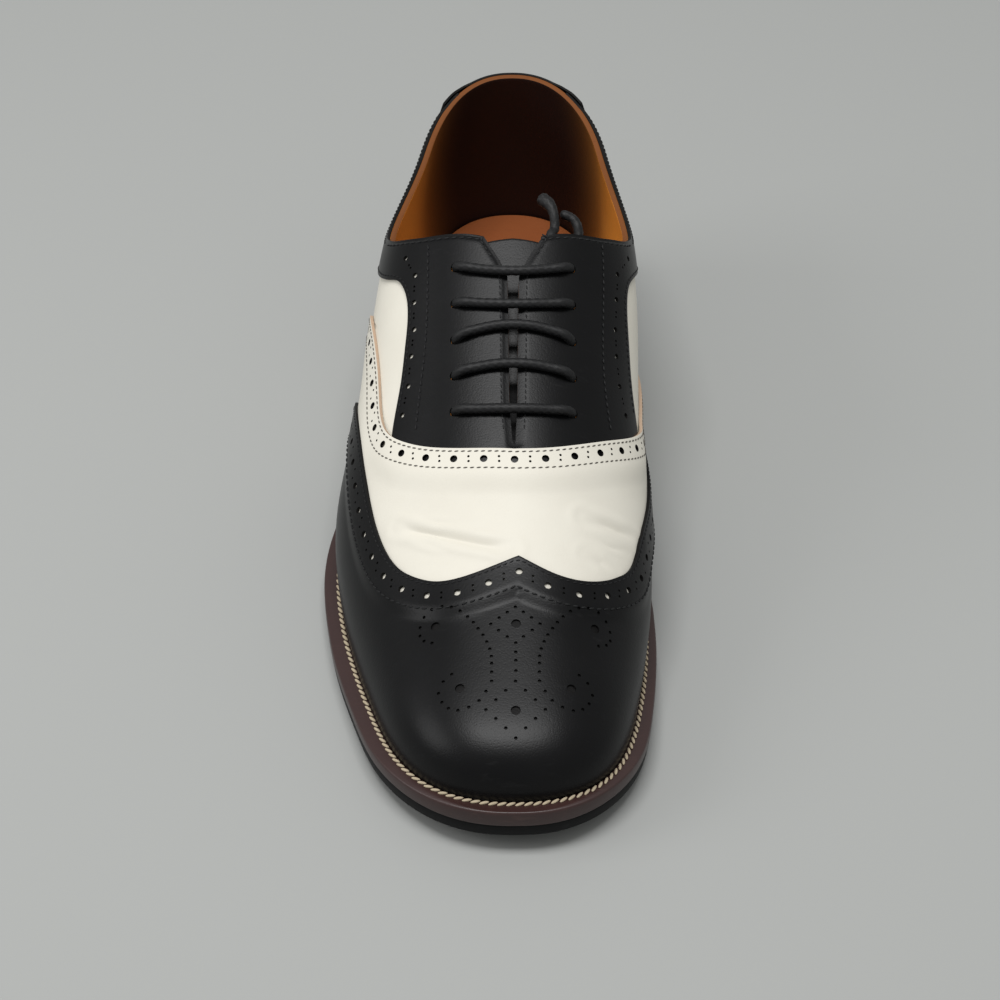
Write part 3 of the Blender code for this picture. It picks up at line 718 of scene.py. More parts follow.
def makeLining():
    look, charts = liningLook, []
    s = stationsFor(lastForm["back"], lastForm["toe"], look["ends"], look["middle"])
    s = np.sort(np.concatenate([s, [facingTop, facingTop + 0.6, throatEnd]]))
    for side in (lateral, medial):
        v = np.linspace(0, 1, look["rows"])[None, :] * topEdge(side, s)[:, None]
        c = side * (1 - v)
        if side == medial:
            c = c[:, ::-1]
        charts.append(np.stack([np.broadcast_to(s[:, None], c.shape), c], -1))
    bm = sheetMesh(charts, [np.zeros(chart.shape[:2]) for chart in charts])
    lining = newObject("lining", bm, [tanLining, rimBrown, inkedEdge])
    thicken(lining, look["wall"], False, look["rounding"])
    punch(lining, [chartPin(s, c, look["eyeletRadius"], look["eyeletFloor"]) for s, c in eyelets], 2)
    return placePiece(lining, "tan_lining", "upper")


print("lining", len(makeLining().data.polygons))

# Quarters: the white sides, a skin that runs under the collar strip, the facings and the vamp
quarterLook = {"thickness": 0.5, "rows": 170, "columns": 50, "inset": 3.0, "backTop": 14.0, "frontTop": 183.0,
               "eyeletRoom": 3.3, "back": [(56, 0), (42, .09), (28, .20), (18, .34)], "rounding": 0.15,
               "eyeletFloor": -1}


def makeQuarters():
    look, charts = quarterLook, []
    for side in (lateral, medial):
        high = lambda s, side=side: topEdge(side, s) - look["inset"] / acrossScale
        s = np.array([look["backTop"], look["frontTop"]])
        corners = np.stack([s, side * (1 - high(s))], -1)
        front = shiftLine(bandHalves[side], side * layers["reach"])
        front = front[(np.abs(front[:, 1]) < 0.999) & (np.abs(front[:, 1]) > abs(corners[1][1]) + 0.02)]
        front = np.vstack([[front[0][0] - 1, side], front, corners[1:]])
        back = smoothLine(charted(side, look["back"]) + [tuple(corners[0])], 60)
        charts.append(between(side, back, front, np.linspace(0, 1, look["columns"]), lambda s: 0 * s, high,
                              np.linspace(0, 1, look["rows"])))
    bm = sheetMesh(charts, [np.full(chart.shape[:2], layers["quarter"]) for chart in charts])
    quarters = newObject("quarters", bm, [whiteCalf, rawEdge])
    thicken(quarters, look["thickness"], rounding=look["rounding"])
    punch(quarters, [chartPin(s, c, look["eyeletRoom"], look["eyeletFloor"]) for s, c in eyelets], 1)
    return placePiece(quarters, "white_leather")


quarters = makeQuarters()
print("quarters", len(quarters.data.polygons))

# Facings with the collar strip, one piece a side, closed at the end of the slit
facingLook = {"thickness": 1.05, "rows": 240, "columns": 46, "reach": 8.0, "holeRadius": 0.95,
              "eyeletRadius": 1.8, "eyeletFloor": -1, "pinRadius": 0.42, "pinShares": (0.42, 0.58),
              "back": (17.0, 12.0), "closed": 198.0, "rise": 0.55, "edge": (0.9, 2.4), "skive": (16.0, 24.0)}
facingHoles = {
    lateral: [(117, .685), (125.2, .725), (134, .718), (142.9, .713), (151.2, .696),
              (160.7, .679), (169.4, .651)],
    medial: [(110.5, .595), (121.2, .665), (129.7, .663), (139.6, .655), (147.8, .636),
             (156.6, .606), (164.2, .560)],
}


def stripEdge(side, s):
    # v of the collar strip's lower edge
    s = np.atleast_1d(np.asarray(s, float))
    top = lastPoint(s, side * (1 - topEdge(side, s)))[..., 2]
    return placeByHalving(s, side, lambda p, q: p[..., 2] > top - stripHeight)


def facingOutline(side):
    # the strip's lower edge, then the facing's outer edge down to its foot under the vamp
    foot = shiftLine(bandHalves[side], side * facingLook["reach"])
    last = charted(side, facingEdge[side])[-1]
    k = int(np.argmin(np.hypot(foot[:, 0] - last[0], (foot[:, 1] - last[1]) * acrossScale)))
    strip = [(s, side * (1 - v)) for s, v in zip(stripStations, stripEdge(side, stripStations))]
    foot = np.vstack([foot[k:][np.abs(foot[k:, 1]) > 0.02], [[facingLook["closed"], 0.0]]])
    return smoothLine(strip + charted(side, facingEdge[side])[:-1] + [tuple(foot[0])], 500), foot


facingOutlines = {side: facingOutline(side) for side in (lateral, medial)}


def makeFacings():
    look, charts, lifts = facingLook, [], []
    back, closed = look["back"], look["closed"]
    stops = np.append(np.linspace(0, 1, look["rows"]), (facingTop - back[1]) / (closed - back[1]))
    for side in (lateral, medial):
        outline, foot = facingOutlines[side]
        lowEdge = lambda s, line=outline: np.interp(s, line[:, 0], 1 - np.abs(line[:, 1]))
        highEdge = lambda s, side=side: topEdge(side, s)
        ends = np.array([[back[0], side * (1 - float(lowEdge(back[0])))],
                         [back[1], side * (1 - float(topEdge(side, back[1])))]])
        chart = between(side, ends, foot, np.linspace(0, 1, look["columns"]), lowEdge, highEdge, np.sort(stops))
        over = smoothStep(edgeDistance(chart, topPath(side)), *look["edge"])
        skived = 1 - smoothStep(chart[..., 0], *look["skive"])
        charts.append(chart)
        lifts.append(layers["close"] + look["rise"] * (over - skived))
    bm = sheetMesh(charts, lifts)
    facings = newObject("facings", bm, [blackCalf, inkedEdge, inkedEdge])
    thicken(facings, look["thickness"])
    holes = []
    for side in facingHoles:
        holes += [chartPin(s, side * (1 - v), look["holeRadius"], 0) for s, v in facingHoles[side]]
        for (s0, v0), (s1, v1) in zip(facingHoles[side], facingHoles[side][1:]):
            for part in look["pinShares"]:
                s, v = s0 + (s1 - s0) * part, v0 + (v1 - v0) * part
                holes.append(chartPin(s, side * (1 - v), look["pinRadius"], 0))
    holes += [chartPin(s, c, look["eyeletRadius"], look["eyeletFloor"]) for s, c in eyelets]
    punch(facings, holes, 2)
    return placePiece(facings, "black_leather", "facing_lateral", "facing_medial")


facings = makeFacings()
print("facings", len(facings.data.polygons))

# Counter: black round the heel, over the ends of the collar strip
counterLook = {"thickness": 1.05, "rows": 60, "columns": 60, "edge": (9, 14), "stripRise": 0.5,
               "stripEdge": (5, 10)}


def counterFront(side):
    s = counterTop
    return smoothLine(charted(side, counterEdge) + [(s, side * (1 - float(topEdge(side, s))))], 80)


def makeCounter():
    look, charts, lifts = counterLook, [], []
    for side in (lateral, medial):
        front = smoothLine(counterFront(side), look["columns"])
        top = float(topEdge(side, lastForm["back"]))
        heel = np.stack([np.full(look["columns"], lastForm["back"]),
                         side * (1 - np.linspace(0, top, look["columns"]))], -1)
        u = (1 - np.cos(np.linspace(0, math.pi / 2, look["rows"])))[:, None, None]
        chart = heel[None] * (1 - u) + front[None] * u
        collar = topEdge(side, chart[:, -1, 0])
        chart[:, -1, 1] = side * (1 - collar)
        away = edgeDistance(chart, counterFront(side))
        v = 1 - np.abs(chart[..., 1])
        strip = stripEdge(side, chart[..., 0].ravel()).reshape(v.shape)
        lift = layers["close"] + layers["overQuarter"] * (1 - smoothStep(away, *look["edge"]))
        lift += (look["stripRise"] * (1 - smoothStep(away, *look["stripEdge"]))
                 * smoothStep(v, strip - 0.03, strip + 0.01))
        charts.append(chart if side == lateral else chart[:, ::-1])
        lifts.append(lift if side == lateral else lift[:, ::-1])
    bm = sheetMesh(charts, lifts)
    counter = newObject("counter_leather", bm, [blackCalf, inkedEdge, inkedEdge])
    thicken(counter, look["thickness"])
    return placePiece(applyAll(counter), "black_leather", "counter")


counter = makeCounter()
print("counter", len(counter.data.polygons))

# Vamp: white, its punched band lies over the facings and quarters
vampLook = {"thickness": 1.1, "rows": 90, "columns": 220, "ridgeEnd": 233.5, "bigRadius": 1.25, "pinRadius": 0.42,
            "row": 3.75, "pitch": 9.5, "pairs": 1.7, "bigEnd": 6, "pinEnd": 9, "fall": 12, "facingFall": 16,
            "facingSide": (0.13, 0.01)}
creaseLook = {"swell": 0.55, "swellPlace": 1.9, "ends": 9, "underWing": 0.8}
creases = [
    {"side": lateral, "path": [(205.4, .573), (211.8, .689), (216.6, .798), (220.2, .907), (221.6, .977)],
     "depth": 0.9, "width": 1.7},
    {"side": medial, "path": [(207.8, .739), (206.7, .605), (204, .44)], "depth": 0.8, "width": 1.8},
    {"side": medial, "path": [(219.9, .721), (221.3, .566)], "depth": 0.6, "width": 1.6},
    {"side": lateral, "path": [(211, .61), (216, .70), (220, .78)], "depth": 0.35, "width": 1.0},
    {"side": lateral, "path": [(206, .66), (210, .745), (212, .82)], "depth": 0.3, "width": 0.9},
    {"side": medial, "path": [(213, .70), (213.5, .60), (211, .50)], "depth": 0.3, "width": 0.9},
]


def creaseLift(chart):
    # soft troughs with a low swell on each side
    lift = np.zeros(chart.shape[:2])
    for crease in creases:
        line = smoothLine(charted(crease["side"], crease["path"]), 80)
        away = edgeDistance(chart, line) / crease["width"]
        ends = np.minimum(edgeDistance(chart, line[:1]), edgeDistance(chart, line[-1:]))
        swell = creaseLook["swell"] * np.exp(-(away - creaseLook["swellPlace"]) ** 2)
        lift += crease["depth"] * smoothStep(ends, 0, creaseLook["ends"]) * (swell - np.exp(-away ** 2))
    return lift


def brogueRow(halves, look):
    # big holes at an even pitch from the ridge, two pinholes between each pair
    pitch, line = look["pitch"], rowInside(halves, look["row"])
    holes = [chartPin(s, c, look["bigRadius"], 0) for s, c in walkLine(line, pitch, ridgeRun(line), look["bigEnd"])]
    for step in (-look["pairs"] / 2, look["pairs"] / 2):
        path = rowInside(halves, look["row"] + step)
        places = walkLine(path, pitch, ridgeRun(path) + pitch / 2, look["pinEnd"])
        holes += [chartPin(s, c, look["pinRadius"], 0) for s, c in places]
    return holes


def makeVamp():
    look, charts, lifts = vampLook, [], []
    for side in (lateral, medial):
        front = shiftLine(wingHalves[side], side * layers["reach"])
        front = front[(np.abs(front[:, 1]) < 0.9995) & (np.abs(front[:, 1]) > 0.02)]
        front = np.vstack([[front[0][0] - 1, side], front, [[look["ridgeEnd"], 0.0]]])
        edges = [smoothLine(halves[side], look["columns"]) for halves in (wingHalves, bandHalves)]
        share = sum(1 - np.abs(edge[:, 1]) for edge in edges) / 2
        chart = between(side, bandHalves[side], front, share, lambda s: 0 * s, lambda s: 0 * s + 1,
                        np.linspace(0, 1, look["rows"]))
        away = edgeDistance(chart, bandHalves[side])
        outline = facingOutlines[side][0][-150:]
        v = 1 - np.abs(chart[..., 1])
        facingV = np.interp(chart[..., 0], outline[:, 0], 1 - np.abs(outline[:, 1]))
        over = smoothStep(v, facingV - look["facingSide"][0], facingV + look["facingSide"][1])
        quarter = 1 - smoothStep(away, layers["reach"] - 0.5, layers["reach"] + look["fall"])
        facing = 1 - smoothStep(away, facingLook["reach"] - 0.5, look["facingFall"])
        lift = layers["close"] + layers["overQuarter"] * quarter + facingLook["thickness"] * over * facing
        charts.append(chart)
        lifts.append(lift + creaseLift(chart))
    bm = sheetMesh(charts, lifts)
    vamp = newObject("vamp_leather", bm, [whiteCalf, rawEdge, inkedEdge])
    thicken(vamp, look["thickness"])
    punch(vamp, brogueRow(bandHalves, look), 2)
    return placePiece(vamp, "white_leather", "vamp")


vamp = makeVamp()
print("vamp", len(vamp.data.polygons))

# Wing cap: black, over the front of the vamp, punched along its edge and with the medallion
wingLook = {"thickness": 1.1, "rows": 30, "ends": 36, "columns": 170, "common": 243.0, "blindDepth": 0.75,
            "bigRadius": 1.15, "pinRadius": 0.42, "row": 5.0, "pitch": 10.0, "pairs": 1.8, "bigEnd": 6, "pinEnd": 9,
            "overVamp": 1.16, "fall": (8.0, 14.0)}
medallion = {
    "centre": 0.4, "bigRadius": 1.55, "pinRadius": 0.56,
    "diamond": {"s": 275.5, "half": 9.0, "steps": 3, "big": (0.0, 276.0)},
    "middle": [(0.1, 263), (0.1, 259.6), (0.1, 256.8), (0.1, 253.7)],
    "sides": [(7.3, 266.2), (7.3, 263.2), (7.3, 260.3), (7.4, 257.9), (7.9, 255.4), (8.8, 252.9), (10.0, 250.5),
              (11.5, 248.1), (13.0, 245.8), (14.8, 243.6), (17.1, 241.6), (19.8, 240.1), (22.8, 239.2),
              (26.0, 239.1), (28.4, 240.3), (29.6, 243.1), (29.6, 246.0), (28.3, 248.3), (25.8, 249.9)],
    "upperBig": (24.8, 244.5),
    "top": [(0.0, 241.6), (2.5, 243.3), (5.0, 245.1), (7.6, 247.0), (5.2, 249.3), (2.5, 251.6)],
    "topBig": (0.2, 247.2),
    "lowerBig": (17.0, 267.6),
    "curl": [(19.5, 262.4), (22.1, 264.3), (23.5, 267.8), (22.4, 271.0), (20.4, 273.5), (17.5, 274.7),
             (14.2, 274.2), (11.1, 272.4), (9.0, 269.5)],
}


def medallionHoles(made):
    # blind holes, found straight below their places in the plan
    tree = surfaceOf(made)
    m, big, small = medallion, [], []
    size, count = m["diamond"]["half"], m["diamond"]["steps"]
    for i in range(count):
        a, b = size * i / count, size * (1 - i / count)
        for x, s in ((a, b), (b, -a), (-a, -b), (-b, a)):
            small.append((x, m["diamond"]["s"] + s))
    for sign in (-1, 1):
        small += [(sign * x, s) for x, s in m["sides"] + m["curl"]]
        big += [(sign * m["upperBig"][0], m["upperBig"][1]), (sign * m["lowerBig"][0], m["lowerBig"][1])]
        small += [(sign * x, s) for x, s in m["top"] if x > 0 or sign > 0]
    small += m["middle"]
    big += [m["diamond"]["big"], m["topBig"]]
    holes = []
    for places, radius in ((small, m["pinRadius"]), (big, m["bigRadius"])):
        for x, s in places:
            above = Vector(((x + m["centre"]) * mm + sideShift, (lastForm["length"] / 2 - s) * mm, 0.2))
            point, normal = tree.ray_cast(above, Vector((0, 0, -1)))[:2]
            holes.append((point, normal, radius, -wingLook["blindDepth"]))
    return holes


def makeWing():
    look, f, charts, lifts = wingLook, lastForm, [], []
    edges = {side: smoothLine(wingHalves[side], look["columns"]) for side in (lateral, medial)}
    heights = {side: 1 - np.abs(edges[side][:, 1]) for side in edges}
    target = (heights[lateral] + heights[medial]) / 4 + np.linspace(0, 0.5, look["columns"])
    reach = f["toe"] - f["toeStart"]
    turn = np.sin(np.linspace(math.asin((look["common"] - f["toeStart"]) / reach), math.pi / 2, look["ends"])[1:])
    for side in (lateral, medial):
        first = edges[side][:, 0]
        along = [first + (look["common"] - first) * t for t in np.linspace(0, 1, look["rows"])]
        along += [np.full(look["columns"], f["toeStart"] + (f["toe"] - f["toeStart"]) * t) for t in turn]
        along = np.array(along)
        v = heights[side] + (target - heights[side]) * (along - first) / (f["toe"] - first)
        chart = np.stack([along, side * (1 - v)], -1)
        away = edgeDistance(chart, wingHalves[side])
        lift = layers["close"] + look["overVamp"] * (1 - smoothStep(away, *look["fall"]))
        lift += creaseLift(chart) * creaseLook["underWing"]
        charts.append(chart if side == lateral else chart[:, ::-1])
        lifts.append(lift if side == lateral else lift[:, ::-1])
    bm = sheetMesh(charts, lifts)
    wing = newObject("wing_cap_leather", bm, [blackCalf, inkedEdge, inkedEdge])
    thicken(wing, look["thickness"])
    punch(wing, brogueRow(wingHalves, look) + medallionHoles(applyAll(wing)), 2)
    return placePiece(wing, "black_leather", "wing_cap")


wing = makeWing()
print("wing", len(wing.data.polygons))

# Tongue under the slit, sewn below the vamp at its front
tongueLook = {"thickness": 1.6, "rows": 90, "columns": 40, "front": 190,
              "top": [(126, .74), (121.5, .80), (118.4, .90), (117.2, 1)],
              "sinkAt": [165, 185, 190], "sink": [6.8, 2.9, 2.4]}


def makeTongue():
    look, charts, lifts = tongueLook, [], []
    for side in (lateral, medial):
        top = charted(side, look["top"])
        front = [(look["front"], c) for s, c in (top[0], top[-1])]
        chart = coons(top, front, [top[0], front[0]], [top[-1], front[1]], look["rows"], look["columns"])
        charts.append(chart if side == lateral else chart[:, ::-1])
        lifts.append(-np.interp(charts[-1][..., 0], look["sinkAt"], look["sink"]))
    bm = sheetMesh(charts, lifts)
    tongue = newObject("tongue_leather", bm, [blackCalf, inkedEdge])
    thicken(tongue, look["thickness"], False)
    return placePiece(applyAll(tongue), "black_leather", "tongue")


print("tongue", len(makeTongue().data.polygons))

# The sole: each layer is its outline swept round a rim profile and closed across, top and bottom
# heights and insets in mm: each layer stands a little further in than the one above it
soleLook = {"outsole": 4.5, "heelFront": 77.0, "lift": 5.5, "taper": 0.965, "foot": 1.2, "gap": 0.3, "lap": 0.05,
            "insole": 2.5, "insoleInset": 2.7, "outsoleInset": 0.5, "heelInset": 1.2, "liftInset": 2.4,
            "lifts": 4, "groove": 0.22, "ends": 34, "middle": 70, "across": 7, "toeSpring": 0.14, "shading": 50}
roundRim = [(0.55, 0.0), (0.16, 0.05), (0.0, 0.16), (0.0, 0.5), (0.0, 0.84), (0.14, 0.95), (0.45, 1.0)]


def baseHeight(s):
    s = np.asarray(s, float)
    past = np.maximum(s - lastForm["toe"], 0)
    return spline(sections, "base", np.minimum(s, lastForm["toe"])) + soleLook["toeSpring"] * past


def underside(s):
    return np.maximum(spline(soleTable, "under", s), 0.0)


def weltTop(s):
    return baseHeight(s) - soleLook["foot"] - soleLook["gap"]


def outsoleTop(s):
    return underside(s) + soleLook["outsole"]


def outwardOf(x, s, side):
    # unit normals of half an outline, away from the middle
    normal = np.stack([np.gradient(s), -np.gradient(x)], -1) * side
    return normal / np.linalg.norm(normal, axis=1)[:, None]


def outlineHalf(side, table, inset, back, toe, cut=None):
    # half of an outline as (x, s) with outward normals
    s = stationsFor(back, toe, soleLook["ends"], soleLook["middle"])
    if cut is not None:
        s = np.append(s[s < cut - 1.5], cut)
    column = "lat" if side == lateral else "med"
    x = side * (spline(table, column, s) - inset) * closing(s, back, toe)
    normal = outwardOf(x, s, side)
    normal[0] = (0, -1)
    if cut is None:
        normal[-1] = (0, 1)
    return np.stack([x, s], -1), normal


def solePlate(name, material, inset, top, bottom, rim, table=soleTable, back=0.0, toe=lastForm["length"],
              cut=None, taper=1.0, slot="black_sole", node=None):
    # one layer between two heights; a cut ends it straight across, as a heel ends at its breast
    look, bm = soleLook, bmesh.new()
    middle = lastForm["length"] / 2
    for side in (lateral, medial):
        outline, normal = outlineHalf(side, table, inset, back, toe, cut)
        columns = []
        for t in np.linspace(0, 1, look["across"], endpoint=False):
            edge = outline - normal * rim[0][0]
            columns.append((edge * (t, 1), 0.0))
        columns += [(outline - normal * step, depth) for step, depth in rim]
        for t in np.linspace(1, 0, look["across"] + 1)[1:]:
            edge = outline - normal * rim[-1][0]
            columns.append((edge * (t, 1), 1.0))
        for vert, i, j in gridCells(bm, len(outline), len(columns)):
            place, depth = columns[j]
            x, s = place[i]
            high, low = float(top(outline[i][1])), float(bottom(outline[i][1]))
            if taper < 1:
                shrink = 1 - (1 - taper) * depth
                x, s = x * shrink, look["heelFront"] / 2 + (s - look["heelFront"] / 2) * shrink
            vert.co = (x * mm + sideShift, (middle - s) * mm, (high + (low - high) * depth) * mm)
    bmesh.ops.remove_doubles(bm, verts=bm.verts, dist=mergeGap)
    if cut is not None:
        bmesh.ops.holes_fill(bm, edges=[edge for edge in bm.edges if edge.is_boundary], sides=0)
    bmesh.ops.recalc_face_normals(bm, faces=bm.faces)
    plate = newObject(name, bm, [material])
    plate.data.shade_smooth()
    plate.data.set_sharp_from_angle(angle=math.radians(look["shading"]))
    return placePiece(plate, slot, node)


def layeredRim(layers, groove):
    # a stack of leather lifts: a fine groove between each two
    rim = [(0.5, 0.0), (0.1, 0.02)]
    for i in range(1, layers):
        t = i / layers
        rim += [(0.0, t - 0.035), (0.0, t - 0.012), (groove, t), (0.0, t + 0.012), (0.0, t + 0.035)]
    return rim + [(0.1, 0.98), (0.4, 1.0)]


solePlate("welt_leather", weltBrown, 0.0, weltTop, lambda s: outsoleTop(s) + soleLook["lap"], roundRim,
          slot="brown_welt", node="welt")
solePlate("outsole_rubber", soleBlack, soleLook["outsoleInset"], outsoleTop, underside, roundRim,
          back=0.5, toe=299.5, node="outsole")
solePlate("heel_stack", soleBlack, soleLook["heelInset"], lambda s: underside(s) - soleLook["lap"],
          lambda s: soleLook["lift"] + soleLook["lap"], layeredRim(soleLook["lifts"], soleLook["groove"]),
          back=1.2, cut=soleLook["heelFront"], taper=soleLook["taper"], node="heel_block")
solePlate("heel_top_lift", soleBlack, soleLook["liftInset"], lambda s: soleLook["lift"], lambda s: 0.0 * s,
          roundRim, back=2.6, cut=soleLook["heelFront"] - 1.5, node="top_lift")
solePlate("insole_leather", insoleBrown, soleLook["insoleInset"],
          lambda s: baseHeight(s) - soleLook["foot"] + soleLook["insole"],
          lambda s: baseHeight(s) - soleLook["foot"], roundRim, table=sections, slot="tan_lining", node="insole",
          back=lastForm["back"] + soleLook["insoleInset"], toe=lastForm["toe"] - soleLook["insoleInset"])
print("sole ready")

# Cords: a braided tube along a smooth route, with its strands as real relief
# middle is the braid wave's mean, fatFrom and fatTo say how far before its end a thick tip swells
cordLook = {"radius": 1.6, "around": 18, "step": 0.4, "strands": 6, "turn": 1.15, "relief": 0.10,
            "middle": 1.27, "fatFrom": 9, "fatTo": 3}


def smoothRoute(points, step):
    points = np.array(points, float)
    run = runAlong(points)
    table = {"s": run, "x": points[:, 0], "y": points[:, 1], "z": points[:, 2]}
    t = np.linspace(0, run[-1], int(run[-1] / step) + 2)
    return np.stack([spline(table, axis, t) for axis in "xyz"], -1)


def cordMesh(bm, points, look, tipFat=0.0):
    # points in mm, in the world's own directions
    path = smoothRoute(points, look["step"])
    run = runAlong(path)
    tangent = np.gradient(path, axis=0)
    tangent /= np.linalg.norm(tangent, axis=1)[:, None]
    side = np.cross(tangent[0], (0.13, 0.2, 0.97))
    sides = []
    for t in tangent:
        side = side - t * side.dot(t)
        side /= np.linalg.norm(side)
        sides.append(side)
    sides = np.array(sides)
    ups = np.cross(tangent, sides)
    ends = np.sqrt(np.clip(1 - (1 - np.clip(np.minimum(run, run[-1] - run) / look["radius"], 0, 1)) ** 2, 0, 1))
    fat = 1 + tipFat * smoothStep(run, run[-1] - look["fatFrom"], run[-1] - look["fatTo"])
    for vert, i, j in gridCells(bm, len(path), look["around"] + 1):
        angle = 2 * math.pi * (j % look["around"]) / look["around"]
        twist, waves = run[i] * look["turn"], look["strands"] / 2 * angle
        braid = abs(math.sin(waves + twist)) + abs(math.sin(waves - twist)) - look["middle"]
        radius = look["radius"] * (1 + look["relief"] * braid) * ends[i] * fat[i]
        spot = path[i] + radius * (math.cos(angle) * sides[i] + math.sin(angle) * ups[i])
        vert.co = spot * mm
    return run[-1]


def overLast(x, s, height):
    # world place in mm at a height over the last, given across and along
    c = acrossPlace(s, x) if abs(x) > 0.05 else 0.0
    p, n = lastPoint(np.array(float(s)), np.array(c)), lastNormal(np.array(float(s)), np.array(c))
    p = p + n * height
    return np.array([p[0] + sideShift / mm, lastForm["length"] / 2 - p[1], p[2]])


def laceRoute():
    # up through one eyelet, across the slit with the bar's own sway, down through the other and on
    row, look = [], laceRows
    rest = layers["over"] + facingLook["thickness"] + cordLook["radius"] + layers["close"]
    for i, (s0, sway) in enumerate(zip(eyeletStations, look["sways"])):
        side = medial if i % 2 == 0 else lateral
        row += [overLast(side * (look["x"] - inward), s0, height) for inward, height in look["through"]]
        row += [overLast(side * part * look["x"], s0 + sway * (1 - part ** 2), rest) for part in look["shares"]]
        for k, (inward, height) in enumerate(reversed(look["through"])):
            row.append(overLast(-side * (look["x"] - inward), s0 + (0.5 if k == 2 else 0), height))
        if i < len(eyeletStations) - 1:
            inward, height = look["inside"]
            row.append(overLast(-side * (look["x"] - inward), (s0 + eyeletStations[i + 1]) / 2, height))
    return row


def finishCord(name, bm, *nodes):
    bmesh.ops.remove_doubles(bm, verts=bm.verts, dist=mergeGap)
    bmesh.ops.recalc_face_normals(bm, faces=bm.faces)
    cord = newObject(name, bm, [lacedCord])
    cord.data.shade_smooth()
    return placePiece(cord, "waxed_cord", *nodes)


laceMesh = bmesh.new()
cordMesh(laceMesh, laceRoute(), cordLook)
finishCord("lace", laceMesh, *["lace_bar_%d" % (i + 1) for i in range(len(eyeletStations))])

freeEnds = {
    "lace_end_1": {"hidden": [(18.0, 127.5), (16.5, 124.0), (15.0, 120.0), (13.6, 116.0)], "fat": 0.42,
                   "free": [(13.6, 112.0, 97.8), (13.8, 108.0, 100.8), (12.4, 104.2, 102.7), (8.9, 100.3, 103.4)]},
    "lace_end_2": {"hidden": [(24.0, 132.0), (24.0, 128.0), (23.8, 124.0), (23.4, 120.0), (23.0, 116.5)],
                   "fat": 0.0,
                   "free": [(21.8, 112.3, 94.2), (21.8, 109.0, 96.7), (20.4, 106.6, 98.5), (15.7, 105.0, 100.0)]},
}
for name, end in freeEnds.items():
    route = [overLast(x, s, -(liningLook["wall"] + cordLook["radius"] + 0.6)) for x, s in end["hidden"]]
    route += [np.array([x + sideShift / mm, lastForm["length"] / 2 - s, z]) for x, s, z in end["free"]]
    bm = bmesh.new()
    length = cordMesh(bm, route, cordLook, end["fat"])
    free = finishCord("free_" + name, bm, name)
    path = [tuple(float(value) * mm for value in point) for point in route]
    print(name, "mm", round(length, 1))
    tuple(path[0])

# Thread: one mesh of stitches for each colour
thread = {
    "around": 6, "along": 5,
    "fine": {"pitch": 2.1, "margin": 2.0, "length": 1.6, "width": 0.5, "height": 0.42, "lean": 8, "sit": 0.06},
    "coarse": {"pitch": 2.6, "margin": 2.0, "length": 2.1, "width": 0.72, "height": 0.6, "lean": 8, "sit": 0.08},
}


def finishThread(name, bm, material, slot):
    made = newObject(name, bm, [material])
    made.data.shade_smooth()
    return placePiece(made, slot)


def collarRow(side, below, first, last):
    s = np.linspace(first, last, 200)
    top = lastPoint(s, side * (1 - topEdge(side, s)))[..., 2]
    v = placeByHalving(s, side, lambda p, q: p[..., 2] > top - below)
    return np.stack([s, side * (1 - v)], -1)


def slitRow(side, inside, first, last):
    s = np.linspace(first, last, 120)
    v = placeByHalving(s, side, lambda p, q: np.abs(p[..., 0] - spline(sections, "ridgex", q))
                       < np.interp(q, slit["s"], slit["x"]) + inside)
    return np.stack([s, side * (1 - v)], -1)


def shoulderRow(side, inside):
    # follows the facing's rounded top corner from the collar to the slit
    path = topPath(side)
    return shiftLine(path[(path[:, 0] > 99) & (path[:, 0] < 128.5)], side * inside)


# how far each row stands inside its edge
rowLook = {"wing": (1.2, 9.6), "band": (1.1, 6.9), "edge": 1.2, "collar": 1.8, "shoulder": 1.7, "slit": 2.5}
facingSeam = {
    lateral: [(115, .775), (120.2, .774), (144.6, .757), (166.7, .717), (181, .687)],
    medial: [(113, .742), (115.1, .740), (142.5, .713), (164.5, .672), (178, .625)],
}
blackRows = [(rowInside(wingHalves, inside), kind) for inside, kind in zip(rowLook["wing"], ("fine", "coarse"))]
greyRows = [(rowInside(bandHalves, inside), "fine") for inside in rowLook["band"]]
for side in (lateral, medial):
    outline = facingOutlines[side][0]
    blackRows.append((shiftLine(outline[:465], -side * rowLook["edge"]), "fine"))
    blackRows.append((smoothLine(charted(side, facingSeam[side]), 200), "coarse"))
    blackRows.append((collarRow(side, rowLook["collar"], 20, 100), "fine"))
    blackRows.append((shoulderRow(side, rowLook["shoulder"]), "coarse"))
    blackRows.append((slitRow(side, rowLook["slit"], 129, 187), "fine"))
    blackRows.append((shiftLine(counterFront(side)[:-6], -side * rowLook["edge"]), "fine"))
tree = surfaceOf(wing, vamp, facings, counter, quarters)
for name, rows, material, slot in (("black_stitches", blackRows, blackThread, "black_leather"),
                                   ("band_stitches", greyRows, greyThread, "white_leather")):
    bm = bmesh.new()
    for line, look in rows:
        stitchRow(bm, tree, line, thread[look])
    finishThread(name, bm, material, slot)

# Welt stitch: thick cream rope stitches round the upper's foot
ropeLook = {"out": 2.0, "pitch": 2.7, "length": 3.2, "width": 1.05, "height": 0.95, "lean": 24, "sit": 0.35,
            "back": 84.0, "ends": 40, "middle": 120, "around": 10, "along": 8}


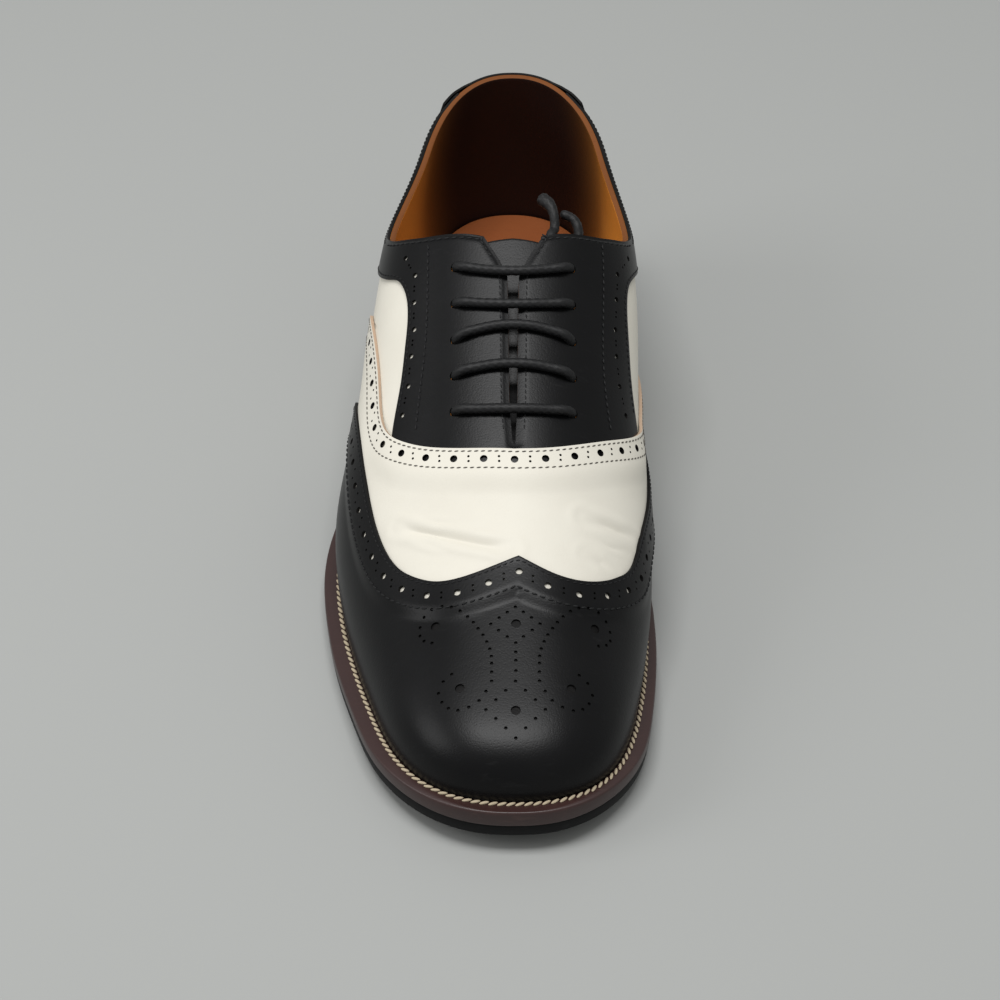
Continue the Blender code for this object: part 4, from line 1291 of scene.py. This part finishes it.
def makeRope():
    look, bm = ropeLook, bmesh.new()
    halves = []
    for side in (lateral, medial):
        s = stationsFor(lastForm["back"], lastForm["toe"], look["ends"], look["middle"])
        s = s[s > look["back"]]
        foot = lastPoint(s, side)
        normal = outwardOf(foot[:, 0], foot[:, 1], side)
        normal[-1] = (0, 1)
        halves.append(foot[:, :2] + normal * look["out"])
    line = np.vstack([halves[0], halves[1][::-1][1:]])
    run = runAlong(line)
    places = np.stack([np.interp(np.arange(0, run[-1], look["pitch"]), run, line[:, i]) for i in (0, 1)], -1)
    for a, b in zip(places, places[1:]):
        ends = [Vector((p[0] * mm + sideShift, (lastForm["length"] / 2 - p[1]) * mm,
                        (float(weltTop(p[1])) + look["sit"]) * mm)) for p in (a, b)]
        along = (ends[1] - ends[0]).normalized()
        up = along.cross(Vector((0, 0, 1)).cross(along).normalized())
        addStitch(bm, (ends[0] + ends[1]) / 2, along, up, look, look["around"], look["along"])
    return finishThread("welt_stitches", bm, creamThread, "brown_welt")


makeRope()
print("stitches ready")

# Stage: plain grey floor, one soft light above and a little in front, a weaker one from the left
stageLook = {"floor": (0.362, 0.368, 0.360), "world": (0.60, 0.61, 0.60), "worldPower": 0.74}
eye = {"x": 4.0, "y": -666.1, "z": 591.6, "down": 41.1, "lens": 91.9, "sensor": 36.0, "shiftY": 0.002}
lamps = [
    {"name": "overhead", "place": (-0.1, -0.16, 1.52), "turn": (6, -4, 0), "size": (0.9, 0.36), "power": 16.5},
    {"name": "left fill", "place": (-1.3, -0.2, 0.9), "turn": (8, -55, 0), "size": (0.7, 0.7), "power": 5.5},
]


def makeStage():
    bm = bmesh.new()
    bmesh.ops.create_grid(bm, x_segments=1, y_segments=1, size=3.0)
    paper = bpy.data.materials.new("paper")
    paper.use_nodes = True
    shader = paper.node_tree.nodes["Principled BSDF"]
    shader.inputs["Base Color"].default_value = (*stageLook["floor"], 1)
    shader.inputs["Roughness"].default_value = 0.9
    floor = newObject("floor", bm, [paper])
    bpy.context.scene.view_settings.view_transform = "Standard"
    world = bpy.data.worlds.new("sky")
    bpy.context.scene.world = world
    world.use_nodes = True
    sky = world.node_tree.nodes["Background"]
    sky.inputs["Color"].default_value = (*stageLook["world"], 1)
    sky.inputs["Strength"].default_value = stageLook["worldPower"]
    for lamp in lamps:
        light = bpy.data.lights.new(lamp["name"], "AREA")
        light.shape = "RECTANGLE"
        light.size, light.size_y = lamp["size"]
        light.energy = lamp["power"]
        made = bpy.data.objects.new(lamp["name"], light)
        made.location = lamp["place"]
        made.rotation_euler = [math.radians(angle) for angle in lamp["turn"]]
        bpy.context.scene.collection.objects.link(made)
    camera = bpy.data.cameras.new("camera")
    camera.lens = eye["lens"]
    camera.sensor_width = eye["sensor"]
    camera.shift_y = eye["shiftY"]
    camera.clip_start = 0.05
    made = bpy.data.objects.new("camera", camera)
    made.location = (eye["x"] * mm, eye["y"] * mm, eye["z"] * mm)
    made.rotation_euler = (math.radians(90 - eye["down"]), 0, 0)
    bpy.context.scene.collection.objects.link(made)
    bpy.context.scene.camera = made


makeStage()
